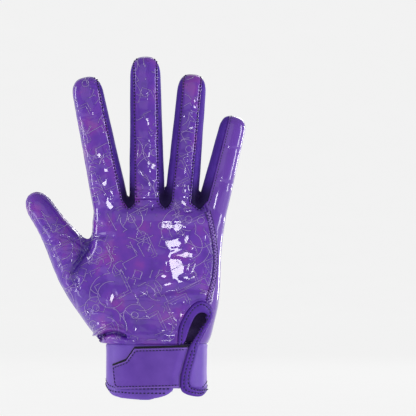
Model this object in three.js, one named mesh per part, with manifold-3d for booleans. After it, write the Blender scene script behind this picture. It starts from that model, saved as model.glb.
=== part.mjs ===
// A receiver glove for the right hand, in its worn form: a thin hollow shell of sewn panels.
// +Z runs from the wrist to the fingertips, the back of the hand faces -Y and the thumb is at -X.
// The origin is the middle of the wrist opening. Sizes are in millimetres.
import * as THREE from 'three';
import { mergeVertices } from 'three/addons/utils/BufferGeometryUtils.js';
import Module from 'manifold-3d';

const wasm = await Module();
wasm.setup();

// Driving dimensions: the wrist and the hand.
const CUFF_HEIGHT = 37;
const CUFF_WIDTH = 67.6;
const CUFF_DEPTH = 46;
const CUFF_WALL = 2.2;
const PALM_LENGTH = 97;
const KNUCKLE_WIDTH = 88;
const PALM_DEPTH = 33;
const PANEL_WALL = 1.5;
const SEAM_GAP = 0.3;

// Driving dimensions: the closure on the back of the wrist.
const STRAP_THICKNESS = 2;
const BINDING_RAISE = 0.5;

// Driving dimensions: the digits. Each leans in the plane of the hand and curls towards the palm.
// root: share of half the knuckle width from the middle; reach: share of the palm length where it starts.
const DIGITS = {
  index: { root: -0.573, reach: 0.7, lean: -11.7, curl: 8, length: 112.8, width: 21.8, depth: 19 },
  middle: { root: -0.134, reach: 0.7, lean: -0.8, curl: 9, length: 124.4, width: 21.6, depth: 19.5 },
  ring: { root: 0.323, reach: 0.7, lean: 5.2, curl: 9, length: 112.9, width: 20.4, depth: 18.5 },
  pinky: { root: 0.718, reach: 0.7, lean: 14.1, curl: 9, length: 87, width: 18.8, depth: 17 },
  thumb: { root: -0.516, reach: 0.0755, lean: -33.6, curl: 11, length: 111.7, width: 18.6, depth: 18 },
};
const THUMB_FORWARD = 5;
const CURL_FROM = 0.2; // share of a digit's length where its curl begins

// Sections. Sides are the straight faces round each section, bulge the exponent of its superellipse.
const TRUNK_SIDES = 40;
const DIGIT_SIDES = 16;
const TRUNK_BULGE = 2.35;
const DIGIT_BULGE = 2.15;
const DIGIT_STEP = 0.01; // share of a digit's length, for the direction in which it runs
const PAST_TIP = 1.4; // share of a digit's length, well past its tip
const NEAR_DIGIT = 0.22; // share of a digit's width within which it alone places the side seams

// The hand above the cuff seam. up: share of the palm length above that seam.
// left and right: shares of half the knuckle width; back and palm: shares of half the palm depth.
const TRUNK_ROWS = [
  { up: 0.03, left: 0.81, right: 0.82, back: 1.36, palm: 1.39 },
  { up: 0.06, left: 0.83, right: 0.84, back: 1.34, palm: 1.4 },
  { up: 0.13, left: 0.86, right: 0.875, back: 1.29, palm: 1.42 },
  { up: 0.2, left: 0.88, right: 0.915, back: 1.24, palm: 1.41 },
  { up: 0.28, left: 0.9, right: 0.95, back: 1.2, palm: 1.37 },
  { up: 0.4, left: 0.95, right: 0.97, back: 1.14, palm: 1.25 },
  { up: 0.55, left: 1.04, right: 0.98, back: 1.09, palm: 1.11 },
  { up: 0.68, left: 1.055, right: 0.995, back: 1.05, palm: 1.0 },
  { up: 0.74, left: 0.985, right: 1.0, back: 1.03, palm: 0.96 },
  { up: 0.83, left: 0.965, right: 1.01, back: 0.99, palm: 0.88 },
  { up: 0.9, left: 0.965, right: 1.0, back: 0.88, palm: 0.76 },
  { up: 0.95, left: 0.955, right: 0.97, back: 0.68, palm: 0.57 },
  { up: 0.98, left: 0.94, right: 0.93, back: 0.4, palm: 0.34 },
];

// Digits, from root to tip. along: share of the length; wide, deep: shares of half the width and depth.
const FINGER_ROWS = [
  { along: 0, wide: 1.08, deep: 1.15 },
  { along: 0.2, wide: 1.1, deep: 1.12 },
  { along: 0.36, wide: 1.08, deep: 1.07 },
  { along: 0.52, wide: 1.03, deep: 1.03 },
  { along: 0.68, wide: 0.985, deep: 0.98 },
  { along: 0.8, wide: 0.97, deep: 0.93 },
  { along: 0.88, wide: 0.94, deep: 0.86 },
  { along: 0.93, wide: 0.85, deep: 0.75 },
  { along: 0.965, wide: 0.69, deep: 0.58 },
  { along: 0.988, wide: 0.46, deep: 0.36 },
];
const THUMB_ROWS = [
  { along: 0, wide: 1.4, deep: 1.85 },
  { along: 0.1, wide: 1.8, deep: 1.9 },
  { along: 0.22, wide: 1.84, deep: 1.82 },
  { along: 0.34, wide: 1.88, deep: 1.68 },
  { along: 0.46, wide: 1.8, deep: 1.46 },
  { along: 0.58, wide: 1.52, deep: 1.26 },
  { along: 0.68, wide: 1.22, deep: 1.12 },
  { along: 0.78, wide: 1.03, deep: 1.02 },
  { along: 0.87, wide: 0.96, deep: 0.93 },
  { along: 0.93, wide: 0.86, deep: 0.78 },
  { along: 0.967, wide: 0.68, deep: 0.58 },
  { along: 0.99, wide: 0.44, deep: 0.36 },
];

// Folds and hollows pressed into the skin. side: -1 on the back, 1 on the palm.
// x0, x1: shares of half the knuckle width; z0, z1: shares of the palm length above the cuff seam;
// wide: share of the palm length; deep: share of the palm depth.
const FOLDS = [
  // The deep crease that runs down from the web of the thumb.
  { side: -1, x0: -1.07, z0: 0.68, x1: -1.29, z1: 0.44, wide: 0.05, deep: 0.055 },
  // The tuck where the back panel hangs over the cuff below the thumb.
  { side: -1, x0: -0.98, z0: 0.1, x1: -0.4, z1: 0.05, wide: 0.045, deep: 0.045 },
  // Slack across the back above the wrist.
  { side: -1, x0: -0.6, z0: 0.26, x1: 0.35, z1: 0.2, wide: 0.04, deep: 0.03 },
  // The palm's two lines at the heel of the hand.
  { side: 1, x0: -0.7, z0: 0.12, x1: 0.6, z1: 0.1, wide: 0.045, deep: 0.045 },
  { side: 1, x0: -0.05, z0: 0.22, x1: -0.55, z1: 0.72, wide: 0.07, deep: 0.06 },
  // The hollow of the palm.
  { side: 1, x0: 0.05, z0: 0.5, x1: 0.2, z1: 0.62, wide: 0.2, deep: 0.09 },
];

// Strips between the fingers. line: share of the half width where the strip meets the finger's back or front.
const PALM_LINE = 0.88;
const GUSSETS = {
  gusset_index_middle: { left: 'index', leftLine: 0.8, right: 'middle', rightLine: 0.8 },
  gusset_middle_ring: { left: 'middle', leftLine: 0.8, right: 'ring', rightLine: 0.68 },
  gusset_ring_pinky: { left: 'ring', leftLine: 0.68, right: 'pinky', rightLine: 0.45 },
};
const BACK_DROP = 6;
const PALM_DROP = 3;

// The flat seam on the back, from the strip at the little finger down to the slit.
// across: share of half the cuff width; up: share of the palm length above the cuff seam.
const ULNAR_SEAM = [
  { across: 1.0, up: 0.9307 },
  { across: 1.07, up: 0.8506 },
  { across: 1.14, up: 0.7247 },
  { across: 1.178, up: 0.5912 },
  { across: 1.142, up: 0.4371 },
  { across: 1.036, up: 0.3269 },
  { across: 1.018, up: 0.2289 },
  { across: 0.8, up: 0.1144 },
  { across: 0.6, up: 0.0191 },
];
// Outlines on the back of the wrist. across: share of half the cuff width; up: share of the cuff height.
// The opening: up the edge of the right flap, round the slit hole and down the end of the left flap.
const OPENING = [
  { across: 1.02, up: 0.05 },
  { across: 0.766, up: 0.04 },
  { across: 0.607, up: 0.073 },
  { across: 0.5, up: 0.15 },
  { across: 0.473, up: 0.227 },
  { across: 0.482, up: 0.435 },
  { across: 0.556, up: 0.678 },
  { across: 0.642, up: 0.951 },
  { across: 0.873, up: 1.243 },
  { across: 1.024, up: 1.438 },
  { across: 1.012, up: 1.535 },
  { across: 0.908, up: 1.584 },
  { across: 0.805, up: 1.546 },
  { across: 0.731, up: 1.454 },
  { across: 0.636, up: 1.243 },
  { across: 0.556, up: 1.003 },
  { across: 0.432, up: 0.985 },
  { across: 0.367, up: 0.676 },
  { across: 0.32, up: 0.324 },
  { across: 0.287, up: 0.146 },
  { across: 0.207, up: 0.081 },
  { across: 0.112, up: 0.032 },
];
// The outer edge of the binding: up the left of the slit, over its top and down the right flap to the hem.
const BINDING = [
  { across: 0.432, up: 1.008 },
  { across: 0.447, up: 1.276 },
  { across: 0.521, up: 1.454 },
  { across: 0.642, up: 1.632 },
  { across: 0.766, up: 1.746 },
  { across: 0.908, up: 1.786 },
  { across: 1.033, up: 1.714 },
  { across: 1.121, up: 1.6 },
  { across: 1.086, up: 1.438 },
  { across: 0.962, up: 1.249 },
  { across: 0.873, up: 1.1 },
  { across: 0.8, up: 0.95 },
  { across: 0.716, up: 0.676 },
  { across: 0.65, up: 0.43 },
  { across: 0.645, up: 0.284 },
  { across: 0.69, up: 0.216 },
  { across: 0.79, up: 0.19 },
  { across: 0.93, up: 0.2 },
];
// The strap's free end, from its top edge round to its bottom. Its other end meets the right flap's edge.
const STRAP_END = [
  { across: -0.417, up: 0.922 },
  { across: -0.58, up: 0.703 },
  { across: -0.843, up: 0.605 },
  { across: -0.808, up: 0.259 },
  { across: -0.754, up: 0.195 },
];
const FLAP_EDGE = { first: 4, last: 7 }; // rows of the opening that the strap comes out from under
// The hem rises towards both sides, and the palm's half of the cuff is shorter than the back's.
// rise: share of the cuff height above the lowest point.
const BACK_HEM = [
  { across: -1.1, rise: 0.26 },
  { across: -1.0, rise: 0.21 },
  { across: -0.96, rise: 0.14 },
  { across: -0.9, rise: 0.08 },
  { across: -0.7, rise: 0.03 },
  { across: -0.3, rise: 0 },
  { across: 0.3, rise: 0 },
  { across: 0.7, rise: 0.025 },
  { across: 0.88, rise: 0.045 },
  { across: 0.96, rise: 0.09 },
  { across: 1.0, rise: 0.165 },
  { across: 1.1, rise: 0.17 },
];
const PALM_HEM = [
  { across: -1.1, rise: 0.26 },
  { across: -1.0, rise: 0.21 },
  { across: -0.85, rise: 0.185 },
  { across: -0.4, rise: 0.17 },
  { across: 0.4, rise: 0.17 },
  { across: 1.0, rise: 0.165 },
  { across: 1.1, rise: 0.17 },
];

const SEAM_Z = CUFF_HEIGHT;
const CROTCH_Z = CUFF_HEIGHT + PALM_LENGTH;
const HALF_KNUCKLES = KNUCKLE_WIDTH / 2;
const HALF_PALM = PALM_DEPTH / 2;
const HALF_CUFF = CUFF_WIDTH / 2;
const FAR = 3 * (CROTCH_Z + DIGITS.middle.length);

// A closed mesh becomes a solid that can be joined and cut.
function solidOf(geometry) {
  geometry.deleteAttribute('normal');
  geometry.deleteAttribute('uv');
  const merged = mergeVertices(geometry, 1e-5);
  const mesh = new wasm.Mesh({
    numProp: 3,
    vertProperties: new Float32Array(merged.attributes.position.array),
    triVerts: new Uint32Array(merged.index.array),
  });
  return new wasm.Manifold(mesh);
}

function geometryOf(solid) {
  const mesh = solid.getMesh();
  const geometry = new THREE.BufferGeometry();
  geometry.setAttribute('position', new THREE.BufferAttribute(new Float32Array(mesh.vertProperties), 3));
  geometry.setIndex(new THREE.BufferAttribute(new Uint32Array(mesh.triVerts), 1));
  geometry.computeVertexNormals();
  return geometry;
}

// A skin over rings of points, closed at each end by a fan of triangles from a middle point.
// The rings run anticlockwise as seen from the end that they lead to.
function loft(rings, start, end) {
  const sides = rings[0].length;
  const points = [...rings.flat(), start, end];
  const last = rings.length - 1;
  const faces = [];
  for (let j = 0; j < sides; j += 1) {
    const k = (j + 1) % sides;
    for (let i = 0; i < last; i += 1) {
      const low = i * sides;
      const high = low + sides;
      faces.push(low + j, low + k, high + k);
      faces.push(low + j, high + k, high + j);
    }
    faces.push(points.length - 2, k, j);
    faces.push(points.length - 1, last * sides + j, last * sides + k);
  }
  const geometry = new THREE.BufferGeometry().setFromPoints(points);
  geometry.setIndex(faces);
  return solidOf(geometry);
}

// The point at one turn round a superellipse with unequal back and palm depths.
function roundPoint(turn, sides, bulge) {
  const angle = (2 * Math.PI * turn) / sides;
  const c = Math.cos(angle);
  const s = Math.sin(angle);
  return {
    across: Math.sign(c) * Math.abs(c) ** (2 / bulge),
    deep: Math.sign(s) * Math.abs(s) ** (2 / bulge),
  };
}

// How far the folds press the skin in at a point.
function pressed(point, side) {
  let depth = 0;
  for (const fold of FOLDS.filter((row) => row.side === side)) {
    const start = new THREE.Vector2(fold.x0 * HALF_KNUCKLES, SEAM_Z + fold.z0 * PALM_LENGTH);
    const end = new THREE.Vector2(fold.x1 * HALF_KNUCKLES, SEAM_Z + fold.z1 * PALM_LENGTH);
    const run = end.clone().sub(start);
    const here = new THREE.Vector2(point.x, point.z);
    const along = THREE.MathUtils.clamp(here.clone().sub(start).dot(run) / run.lengthSq(), 0, 1);
    const away = here.distanceTo(start.addScaledVector(run, along)) / (fold.wide * PALM_LENGTH);
    depth += fold.deep * PALM_DEPTH * Math.exp(-(away ** 2));
  }
  return depth;
}

// The wrist and hand without digits, with its skin moved in by inset. The wrist runs on below the hem.
function trunk(inset) {
  const wrist = {
    up: 0,
    left: CUFF_WIDTH / KNUCKLE_WIDTH,
    right: CUFF_WIDTH / KNUCKLE_WIDTH,
    back: CUFF_DEPTH / PALM_DEPTH,
    palm: CUFF_DEPTH / PALM_DEPTH,
  };
  const belowHem = { ...wrist, up: (-2 * CUFF_HEIGHT) / PALM_LENGTH };
  const rings = [belowHem, wrist, ...TRUNK_ROWS].map((row) => {
    const z = SEAM_Z + row.up * PALM_LENGTH;
    const points = [];
    for (let turn = 0; turn < TRUNK_SIDES; turn += 1) {
      const { across, deep } = roundPoint(turn, TRUNK_SIDES, TRUNK_BULGE);
      const halfWidth = (across < 0 ? row.left : row.right) * HALF_KNUCKLES - inset;
      const halfDepth = (deep < 0 ? row.back : row.palm) * HALF_PALM - inset;
      const point = new THREE.Vector3(across * halfWidth, deep * halfDepth, z);
      if (z > SEAM_Z) point.y -= deep * pressed(point, Math.sign(deep));
      points.push(point);
    }
    return points;
  });
  const top = rings.at(-1);
  for (const point of top) point.z -= inset;
  return loft(rings, new THREE.Vector3(0, 0, rings[0][0].z), new THREE.Vector3(0, 0, top[0].z));
}

// The middle of a digit at a share of its length, in the plane of the hand and in depth.
function digitAxis(digit) {
  const lean = THREE.MathUtils.degToRad(digit.lean);
  const forward = digit === DIGITS.thumb ? THUMB_FORWARD : 0;
  return {
    rise: new THREE.Vector3(Math.sin(lean), 0, Math.cos(lean)),
    side: new THREE.Vector3(Math.cos(lean), 0, -Math.sin(lean)),
    at(along) {
      const bend = digit.curl * Math.max(0, along - CURL_FROM) ** 2;
      return new THREE.Vector3(digit.root * HALF_KNUCKLES, forward, SEAM_Z + digit.reach * PALM_LENGTH)
        .addScaledVector(this.rise, along * digit.length)
        .add(new THREE.Vector3(0, bend, 0));
    },
  };
}

// One digit with its skin moved in by inset.
function digitSolid(digit, inset) {
  const axis = digitAxis(digit);
  const rows = digit === DIGITS.thumb ? THUMB_ROWS : FINGER_ROWS;
  const rings = rows.map((row) => {
    const along = row.along * (1 - inset / digit.length);
    const middle = axis.at(along);
    const ahead = axis.at(along + DIGIT_STEP).sub(middle).normalize();
    const normal = new THREE.Vector3().crossVectors(ahead, axis.side);
    const points = [];
    for (let turn = 0; turn < DIGIT_SIDES; turn += 1) {
      const { across, deep } = roundPoint(turn, DIGIT_SIDES, DIGIT_BULGE);
      const point = middle.clone()
        .addScaledVector(axis.side, across * ((row.wide * digit.width) / 2 - inset))
        .addScaledVector(normal, deep * ((row.deep * digit.depth) / 2 - inset));
      point.y -= deep * pressed(point, Math.sign(deep));
      points.push(point);
    }
    return points;
  });
  return loft(rings, axis.at(0), axis.at(1 - inset / digit.length));
}

// The whole glove's form, solid, with its skin moved in by inset.
function form(inset) {
  return Object.values(DIGITS).reduce(
    (whole, digit) => whole.add(digitSolid(digit, inset)),
    trunk(inset),
  );
}

// A prism through the glove from an outline seen from the front, between two depths.
function prism(outline, from = -FAR, to = FAR) {
  const shape = new THREE.Shape(outline.map(([x, z]) => new THREE.Vector2(x, z)));
  const geometry = new THREE.ExtrudeGeometry(shape, { depth: to - from, bevelEnabled: false });
  geometry.rotateX(Math.PI / 2);
  geometry.translate(0, to, 0);
  return solidOf(geometry);
}

function slice(low, high) {
  return prism([[-FAR, low], [FAR, low], [FAR, high], [-FAR, high]]);
}

const place = ({ across, up }) => [across * HALF_CUFF, up * CUFF_HEIGHT];
const placeOnHand = ({ across, up }) => [across * HALF_CUFF, SEAM_Z + up * PALM_LENGTH];

// An outline with each point moved out along the normal there; the outline runs anticlockwise.
function grown(outline, distance) {
  return outline.map(([x, z], i) => {
    const [x0, z0] = outline[(i + outline.length - 1) % outline.length];
    const [x1, z1] = outline[(i + 1) % outline.length];
    const length = Math.hypot(x1 - x0, z1 - z0);
    return [x + (distance * (z1 - z0)) / length, z - (distance * (x1 - x0)) / length];
  });
}

// Depth of the middle of the glove at a place, drawn from the digits that lie nearest.
// The side seams between back and palm lie there.
function middleDepth(x, z) {
  let sum = 0;
  let weights = 0;
  for (const digit of Object.values(DIGITS)) {
    const axis = digitAxis(digit);
    const away = new THREE.Vector3(x, 0, z).sub(axis.at(0));
    away.y = 0;
    const along = THREE.MathUtils.clamp(away.dot(axis.rise) / digit.length, 0, 1);
    const point = axis.at(along);
    const near = NEAR_DIGIT * digit.width;
    const weight = 1 / (Math.hypot(point.x - x, point.z - z) ** 2 + near ** 2) ** 2;
    sum += weight * point.y;
    weights += weight;
  }
  return sum / weights;
}

// Everything on the back's side of the middle of the glove, up to the middle moved by shift.
function backSide(shift) {
  const steps = 18;
  const width = 2.4 * KNUCKLE_WIDTH;
  const height = 1.4 * (CROTCH_Z + DIGITS.middle.length);
  const geometry = new THREE.BoxGeometry(width, KNUCKLE_WIDTH, height, steps, 1, steps);
  geometry.translate(0, -KNUCKLE_WIDTH / 2, height / 3);
  const points = geometry.attributes.position;
  for (let i = 0; i < points.count; i += 1) {
    if (points.getY(i) > -KNUCKLE_WIDTH / 2) {
      points.setY(i, middleDepth(points.getX(i), points.getZ(i)) + shift);
    }
  }
  return solidOf(geometry);
}

// A point on the line along a digit at a share of its half width, moved off the digit's axis by away.
function linePoint(digit, share, away, along) {
  const axis = digitAxis(digit);
  const point = axis.at(along);
  const distance = (share * digit.width) / 2 + Math.sign(share) * away;
  return [point.x + axis.side.x * distance, point.z + axis.side.z * distance];
}

// The share of a digit's length at which its axis passes a height.
function alongAt(digit, z) {
  const axis = digitAxis(digit);
  return (z - axis.at(0).z) / (digit.length * axis.rise.z);
}

// The strip between two neighbouring fingers, seen from the front, with its edges moved out by grow.
function gussetOutline(gusset, leftLine, rightLine, drop, grow) {
  const left = DIGITS[gusset.left];
  const right = DIGITS[gusset.right];
  const low = CROTCH_Z - drop / 3;
  const leftLow = linePoint(left, leftLine, -grow, alongAt(left, low));
  const rightLow = linePoint(right, -rightLine, -grow, alongAt(right, low));
  return [
    [(leftLow[0] + rightLow[0]) / 2, CROTCH_Z - drop - grow],
    rightLow,
    linePoint(right, -rightLine, -grow, PAST_TIP),
    linePoint(left, leftLine, -grow, PAST_TIP),
    leftLow,
  ];
}

function gussetRegion(gusset, grow) {
  const back = prism(gussetOutline(gusset, gusset.leftLine, gusset.rightLine, BACK_DROP, grow));
  const palm = prism(gussetOutline(gusset, PALM_LINE, PALM_LINE, PALM_DROP, grow));
  return back.intersect(backSide(0)).add(palm.subtract(backSide(-SEAM_GAP / 2)));
}

// The outer edge of the hand and the little finger, where the palm's sheet comes round to the back.
function ulnarOutline(grow) {
  const between = (along) => {
    const ring = linePoint(DIGITS.ring, 0, 0, along);
    const pinky = linePoint(DIGITS.pinky, 0, 0, along);
    return [(ring[0] + pinky[0]) / 2 - grow, (ring[1] + pinky[1]) / 2];
  };
  const seam = ULNAR_SEAM.map(placeOnHand).map(([x, z]) => [x - grow, z]);
  const crotch = between(alongAt(DIGITS.pinky, CROTCH_Z));
  return [[FAR, SEAM_Z], [FAR, FAR], between(PAST_TIP), crotch, ...seam, [seam.at(-1)[0], SEAM_Z]];
}

const palmHalfApart = slice(-FAR, FAR).subtract(backSide(SEAM_GAP / 2));
const backHalfApart = backSide(-SEAM_GAP / 2);
const aboveSeam = slice(SEAM_Z + SEAM_GAP / 2, FAR);
const belowSeam = slice(-FAR, SEAM_Z - SEAM_GAP / 2);
const shell = form(0).subtract(form(PANEL_WALL)).intersect(aboveSeam);

// Below the hem, on the back's or the palm's half of the wrist.
function belowHemLine(hem, from, to) {
  const line = hem.map(({ across, rise }) => [across * HALF_CUFF, rise * CUFF_HEIGHT]);
  return prism([...line, [FAR, -FAR], [-FAR, -FAR]].reverse(), from, to);
}
const belowHem = belowHemLine(BACK_HEM, -FAR, 0).add(belowHemLine(PALM_HEM, 0, FAR));

const openingOutline = [
  ...OPENING.map(place),
  [OPENING.at(-1).across * HALF_CUFF, -CUFF_HEIGHT],
  [OPENING[0].across * HALF_CUFF, -CUFF_HEIGHT],
];
const bindingOutline = [
  ...BINDING.map(place),
  [BINDING.at(-1).across * HALF_CUFF, -CUFF_HEIGHT],
  [BINDING[0].across * HALF_CUFF, -CUFF_HEIGHT],
].reverse();
const opening = prism(openingOutline, -FAR, 0);
const bindingRoom = prism(grown(bindingOutline, SEAM_GAP), -FAR, 0);
const gussetsApart = Object.values(GUSSETS)
  .map((gusset) => gussetRegion(gusset, SEAM_GAP))
  .reduce((all, one) => all.add(one));

// The back of the middle finger above its base seam, seen from the front.
function middleStripOutline(grow) {
  const { middle } = DIGITS;
  const line = GUSSETS.gusset_index_middle.rightLine;
  const base = alongAt(middle, CROTCH_Z) - grow / middle.length;
  return [
    linePoint(middle, line, 2 * SEAM_GAP, base),
    linePoint(middle, line, 2 * SEAM_GAP, PAST_TIP),
    linePoint(middle, -line, 2 * SEAM_GAP, PAST_TIP),
    linePoint(middle, -line, 2 * SEAM_GAP, base),
  ];
}

const back = shell.intersect(backHalfApart).subtract(prism(ulnarOutline(SEAM_GAP)))
  .subtract(gussetsApart).subtract(bindingRoom);

function backPanel() {
  return back.subtract(prism(middleStripOutline(SEAM_GAP)));
}

function middleBackStrip() {
  return back.intersect(prism(middleStripOutline(0)));
}

function palmPanel() {
  const region = palmHalfApart.add(prism(ulnarOutline(0)));
  return shell.intersect(region).subtract(gussetsApart).subtract(bindingRoom);
}

function gussetPiece(gusset) {
  return shell.intersect(gussetRegion(gusset, 0));
}

function cuffPiece() {
  return trunk(0).subtract(trunk(CUFF_WALL)).intersect(belowSeam)
    .subtract(belowHem).subtract(opening).subtract(bindingRoom);
}

// The binding is one folded strip: as thick as the panel above the seam and as the cuff below it.
function bindingPiece() {
  const raised = form(-BINDING_RAISE);
  const upper = raised.subtract(form(PANEL_WALL)).intersect(slice(SEAM_Z, FAR));
  const lower = raised.subtract(trunk(CUFF_WALL)).intersect(slice(-FAR, SEAM_Z));
  return upper.add(lower).intersect(prism(bindingOutline, -FAR, 0)).subtract(opening);
}

function strapPiece() {
  const band = trunk(-SEAM_GAP - STRAP_THICKNESS).subtract(trunk(-SEAM_GAP));
  const flapEdge = OPENING.slice(FLAP_EDGE.first, FLAP_EDGE.last + 1).map(place)
    .map(([x, z]) => [x - SEAM_GAP, z]);
  return band.intersect(prism([...STRAP_END.map(place), ...flapEdge], -FAR, 0));
}

const FINISHES = {
  film: { color: 0x6f43ad, roughness: 0.25 },
  silicone: { color: 0x7242aa, roughness: 0.12 },
  stretch_cloth: { color: 0x2e1668, roughness: 0.8 },
  neoprene: { color: 0x6440a2, roughness: 0.6 },
};

function named(name, solid, finish) {
  const material = new THREE.MeshStandardMaterial({ metalness: 0, ...FINISHES[finish] });
  const mesh = new THREE.Mesh(geometryOf(solid), material);
  mesh.name = name;
  return mesh;
}

const hand = new THREE.Group();
hand.add(named('back_panel', backPanel(), 'film'));
hand.add(named('middle_back_strip', middleBackStrip(), 'film'));
hand.add(named('palm_panel', palmPanel(), 'silicone'));
for (const [name, gusset] of Object.entries(GUSSETS)) {
  hand.add(named(name, gussetPiece(gusset), 'stretch_cloth'));
}

const wrist = new THREE.Group();
wrist.add(named('cuff', cuffPiece(), 'neoprene'));
wrist.add(named('slit_binding', bindingPiece(), 'neoprene'));
wrist.add(named('strap', strapPiece(), 'neoprene'));

const glove = new THREE.Group();
glove.add(hand, wrist);

export default glove;
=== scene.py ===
# A football receiver glove for the right hand, in its worn form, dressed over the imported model.
# +Z runs from the wrist to the fingertips, the back of the hand faces -Y and the thumb is at -X.
# Meshes are worked out in millimetres and turned to metres when they are made.
import math
from collections import defaultdict
from itertools import product

import bpy
import numpy as np
import openvdb
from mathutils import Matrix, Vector, kdtree


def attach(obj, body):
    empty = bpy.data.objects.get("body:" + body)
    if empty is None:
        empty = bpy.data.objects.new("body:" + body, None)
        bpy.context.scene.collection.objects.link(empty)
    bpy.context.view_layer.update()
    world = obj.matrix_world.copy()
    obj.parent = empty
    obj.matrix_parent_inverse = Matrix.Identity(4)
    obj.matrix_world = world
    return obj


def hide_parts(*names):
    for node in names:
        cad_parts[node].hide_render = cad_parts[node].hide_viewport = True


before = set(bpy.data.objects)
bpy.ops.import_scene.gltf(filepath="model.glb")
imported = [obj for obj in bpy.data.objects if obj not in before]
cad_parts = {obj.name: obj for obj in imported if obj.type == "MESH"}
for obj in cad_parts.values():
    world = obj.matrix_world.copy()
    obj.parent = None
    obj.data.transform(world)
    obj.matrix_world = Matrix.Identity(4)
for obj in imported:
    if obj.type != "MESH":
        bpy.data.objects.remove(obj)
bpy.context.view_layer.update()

# Camera
# Level with the middle of the hand and square to its back, from 4 m away. The view is as wide
# as the photograph's, 0.67 mm to a pixel where the glove stands.
CAMERA_AWAY = 4.0
VIEW_WIDTH = 416 * 0.67e-3
VIEW_MIDDLE = Vector((0.0345, 0.0, 0.1279))

camera = bpy.data.objects.new("camera", bpy.data.cameras.new("camera"))
camera.data.sensor_width = 36
camera.data.lens = 36 * CAMERA_AWAY / VIEW_WIDTH
camera.location = VIEW_MIDDLE - Vector((0, CAMERA_AWAY, 0))
camera.rotation_euler = (math.pi / 2, 0, 0)
bpy.context.scene.collection.objects.link(camera)
bpy.context.scene.camera = camera

# Palm panel
# Stretch cloth coated with smooth silicone rubber, cut in one sheet for the palm and the finger
# fronts, and wrapped round the little finger and the outer edge of the hand to the flat seam on
# the back. It's the first panel, so the hand's whole form is worked out here.
SEAM_Z = 37.0
PALM_LENGTH = 97.0
CROTCH_Z = SEAM_Z + PALM_LENGTH
HALF_KNUCKLES = 44.0
HALF_PALM = 16.5
HALF_CUFF = 33.8
CURL_FROM = 0.2  # share of a digit's length where its curl begins
TIP_FROM = 0.88  # share of a digit's length where its tip begins to round off
NEAR_DIGIT = 0.22  # share of a digit's width within which it alone places the side seams
KNUCKLES_FROM = 0.83  # share of the palm length where the knuckles begin to round off

DIGITS = {
    "index": dict(root=-0.573, reach=0.7, lean=-11.7, curl=8, length=112.8, width=21.8, depth=19),
    "middle": dict(root=-0.134, reach=0.7, lean=-0.8, curl=9, length=124.4, width=21.6, depth=19.5),
    "ring": dict(root=0.323, reach=0.7, lean=5.2, curl=9, length=112.9, width=20.4, depth=18.5),
    "pinky": dict(root=0.718, reach=0.7, lean=14.1, curl=9, length=87, width=18.8, depth=17),
    "thumb": dict(root=-0.516, reach=0.0755, lean=-33.6, curl=11, length=111.7, width=18.6, depth=18),
}
THUMB_FORWARD = 5.0
# Share of the palm length above the cuff seam, then left, right (shares of half the knuckle width),
# back and palm (shares of half the palm depth).
TRUNK_ROWS = [
    (-0.8, 0.768, 0.768, 1.394, 1.394), (0.0, 0.768, 0.768, 1.394, 1.394),
    (0.03, 0.81, 0.82, 1.36, 1.39), (0.06, 0.83, 0.84, 1.34, 1.4), (0.13, 0.86, 0.875, 1.29, 1.42),
    (0.2, 0.88, 0.915, 1.24, 1.41), (0.28, 0.9, 0.95, 1.2, 1.37), (0.4, 0.95, 0.97, 1.14, 1.25),
    (0.55, 1.04, 0.98, 1.09, 1.11), (0.68, 1.055, 0.995, 1.05, 1.0), (0.74, 0.985, 1.0, 1.03, 0.96),
    (0.83, 0.965, 1.01, 0.99, 0.88), (0.95, 0.955, 0.985, 0.99, 0.88),
]
# Share of a digit's length, then its width and depth as shares of half its own.
FINGER_ROWS = [
    (0.0, 1.08, 1.15), (0.2, 1.1, 1.12), (0.36, 1.08, 1.07), (0.52, 1.03, 1.03), (0.68, 0.985, 0.98),
    (0.8, 0.97, 0.93), (0.88, 0.94, 0.87), (1.0, 0.93, 0.86),
]
THUMB_ROWS = [
    (0.0, 1.4, 1.85), (0.1, 1.8, 1.9), (0.22, 1.84, 1.82), (0.34, 1.88, 1.68), (0.46, 1.8, 1.46),
    (0.58, 1.52, 1.26), (0.68, 1.22, 1.12), (0.78, 1.03, 1.02), (0.87, 0.96, 0.93), (1.0, 0.95, 0.92),
]


def eased(rows, soft):
    """Smooth curves through the columns of the rows. Each looks up a place in the first column."""
    rows = np.array(rows)
    places = np.linspace(rows[0, 0] - 0.2, rows[-1, 0] + 0.2, 1200)
    reach = int(3 * soft / (places[1] - places[0]))
    spread = np.exp(-0.5 * (np.arange(-reach, reach + 1) * 3 / reach) ** 2)
    spread /= spread.sum()
    curves = []
    for column in rows.T[1:]:
        raw = np.pad(np.interp(places, rows[:, 0], column), reach, mode="edge")
        curves.append(np.convolve(raw, spread, mode="valid"))
    return [lambda at, curve=curve: np.interp(at, places, curve) for curve in curves]


TRUNK_SIZES = eased(TRUNK_ROWS, 0.022)
FINGER_SIZES = eased(FINGER_ROWS, 0.04)
THUMB_SIZES = eased(THUMB_ROWS, 0.04)


def bulged(parts, sizes, bulge, cap=2.0):
    """About how far points lie outside a rounded block with these half sizes and, third, its end cap."""
    shares = [np.abs(part) / size for part, size in zip(parts, sizes)]
    ring = np.maximum(shares[0] ** bulge + shares[1] ** bulge, 1e-9) ** (1 / bulge)
    slope = sum(((share / ring) ** (bulge - 1) / size) ** 2 for share, size in zip(shares[:2], sizes))
    height = ring
    if len(parts) > 2:
        height = (ring ** cap + shares[2] ** cap) ** (1 / cap)
        slope = slope * (ring / height) ** (2 * cap - 2)
        slope = slope + ((shares[2] / height) ** (cap - 1) / sizes[2]) ** 2
    return (height - 1) / np.sqrt(np.maximum(slope, 1e-9))


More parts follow.
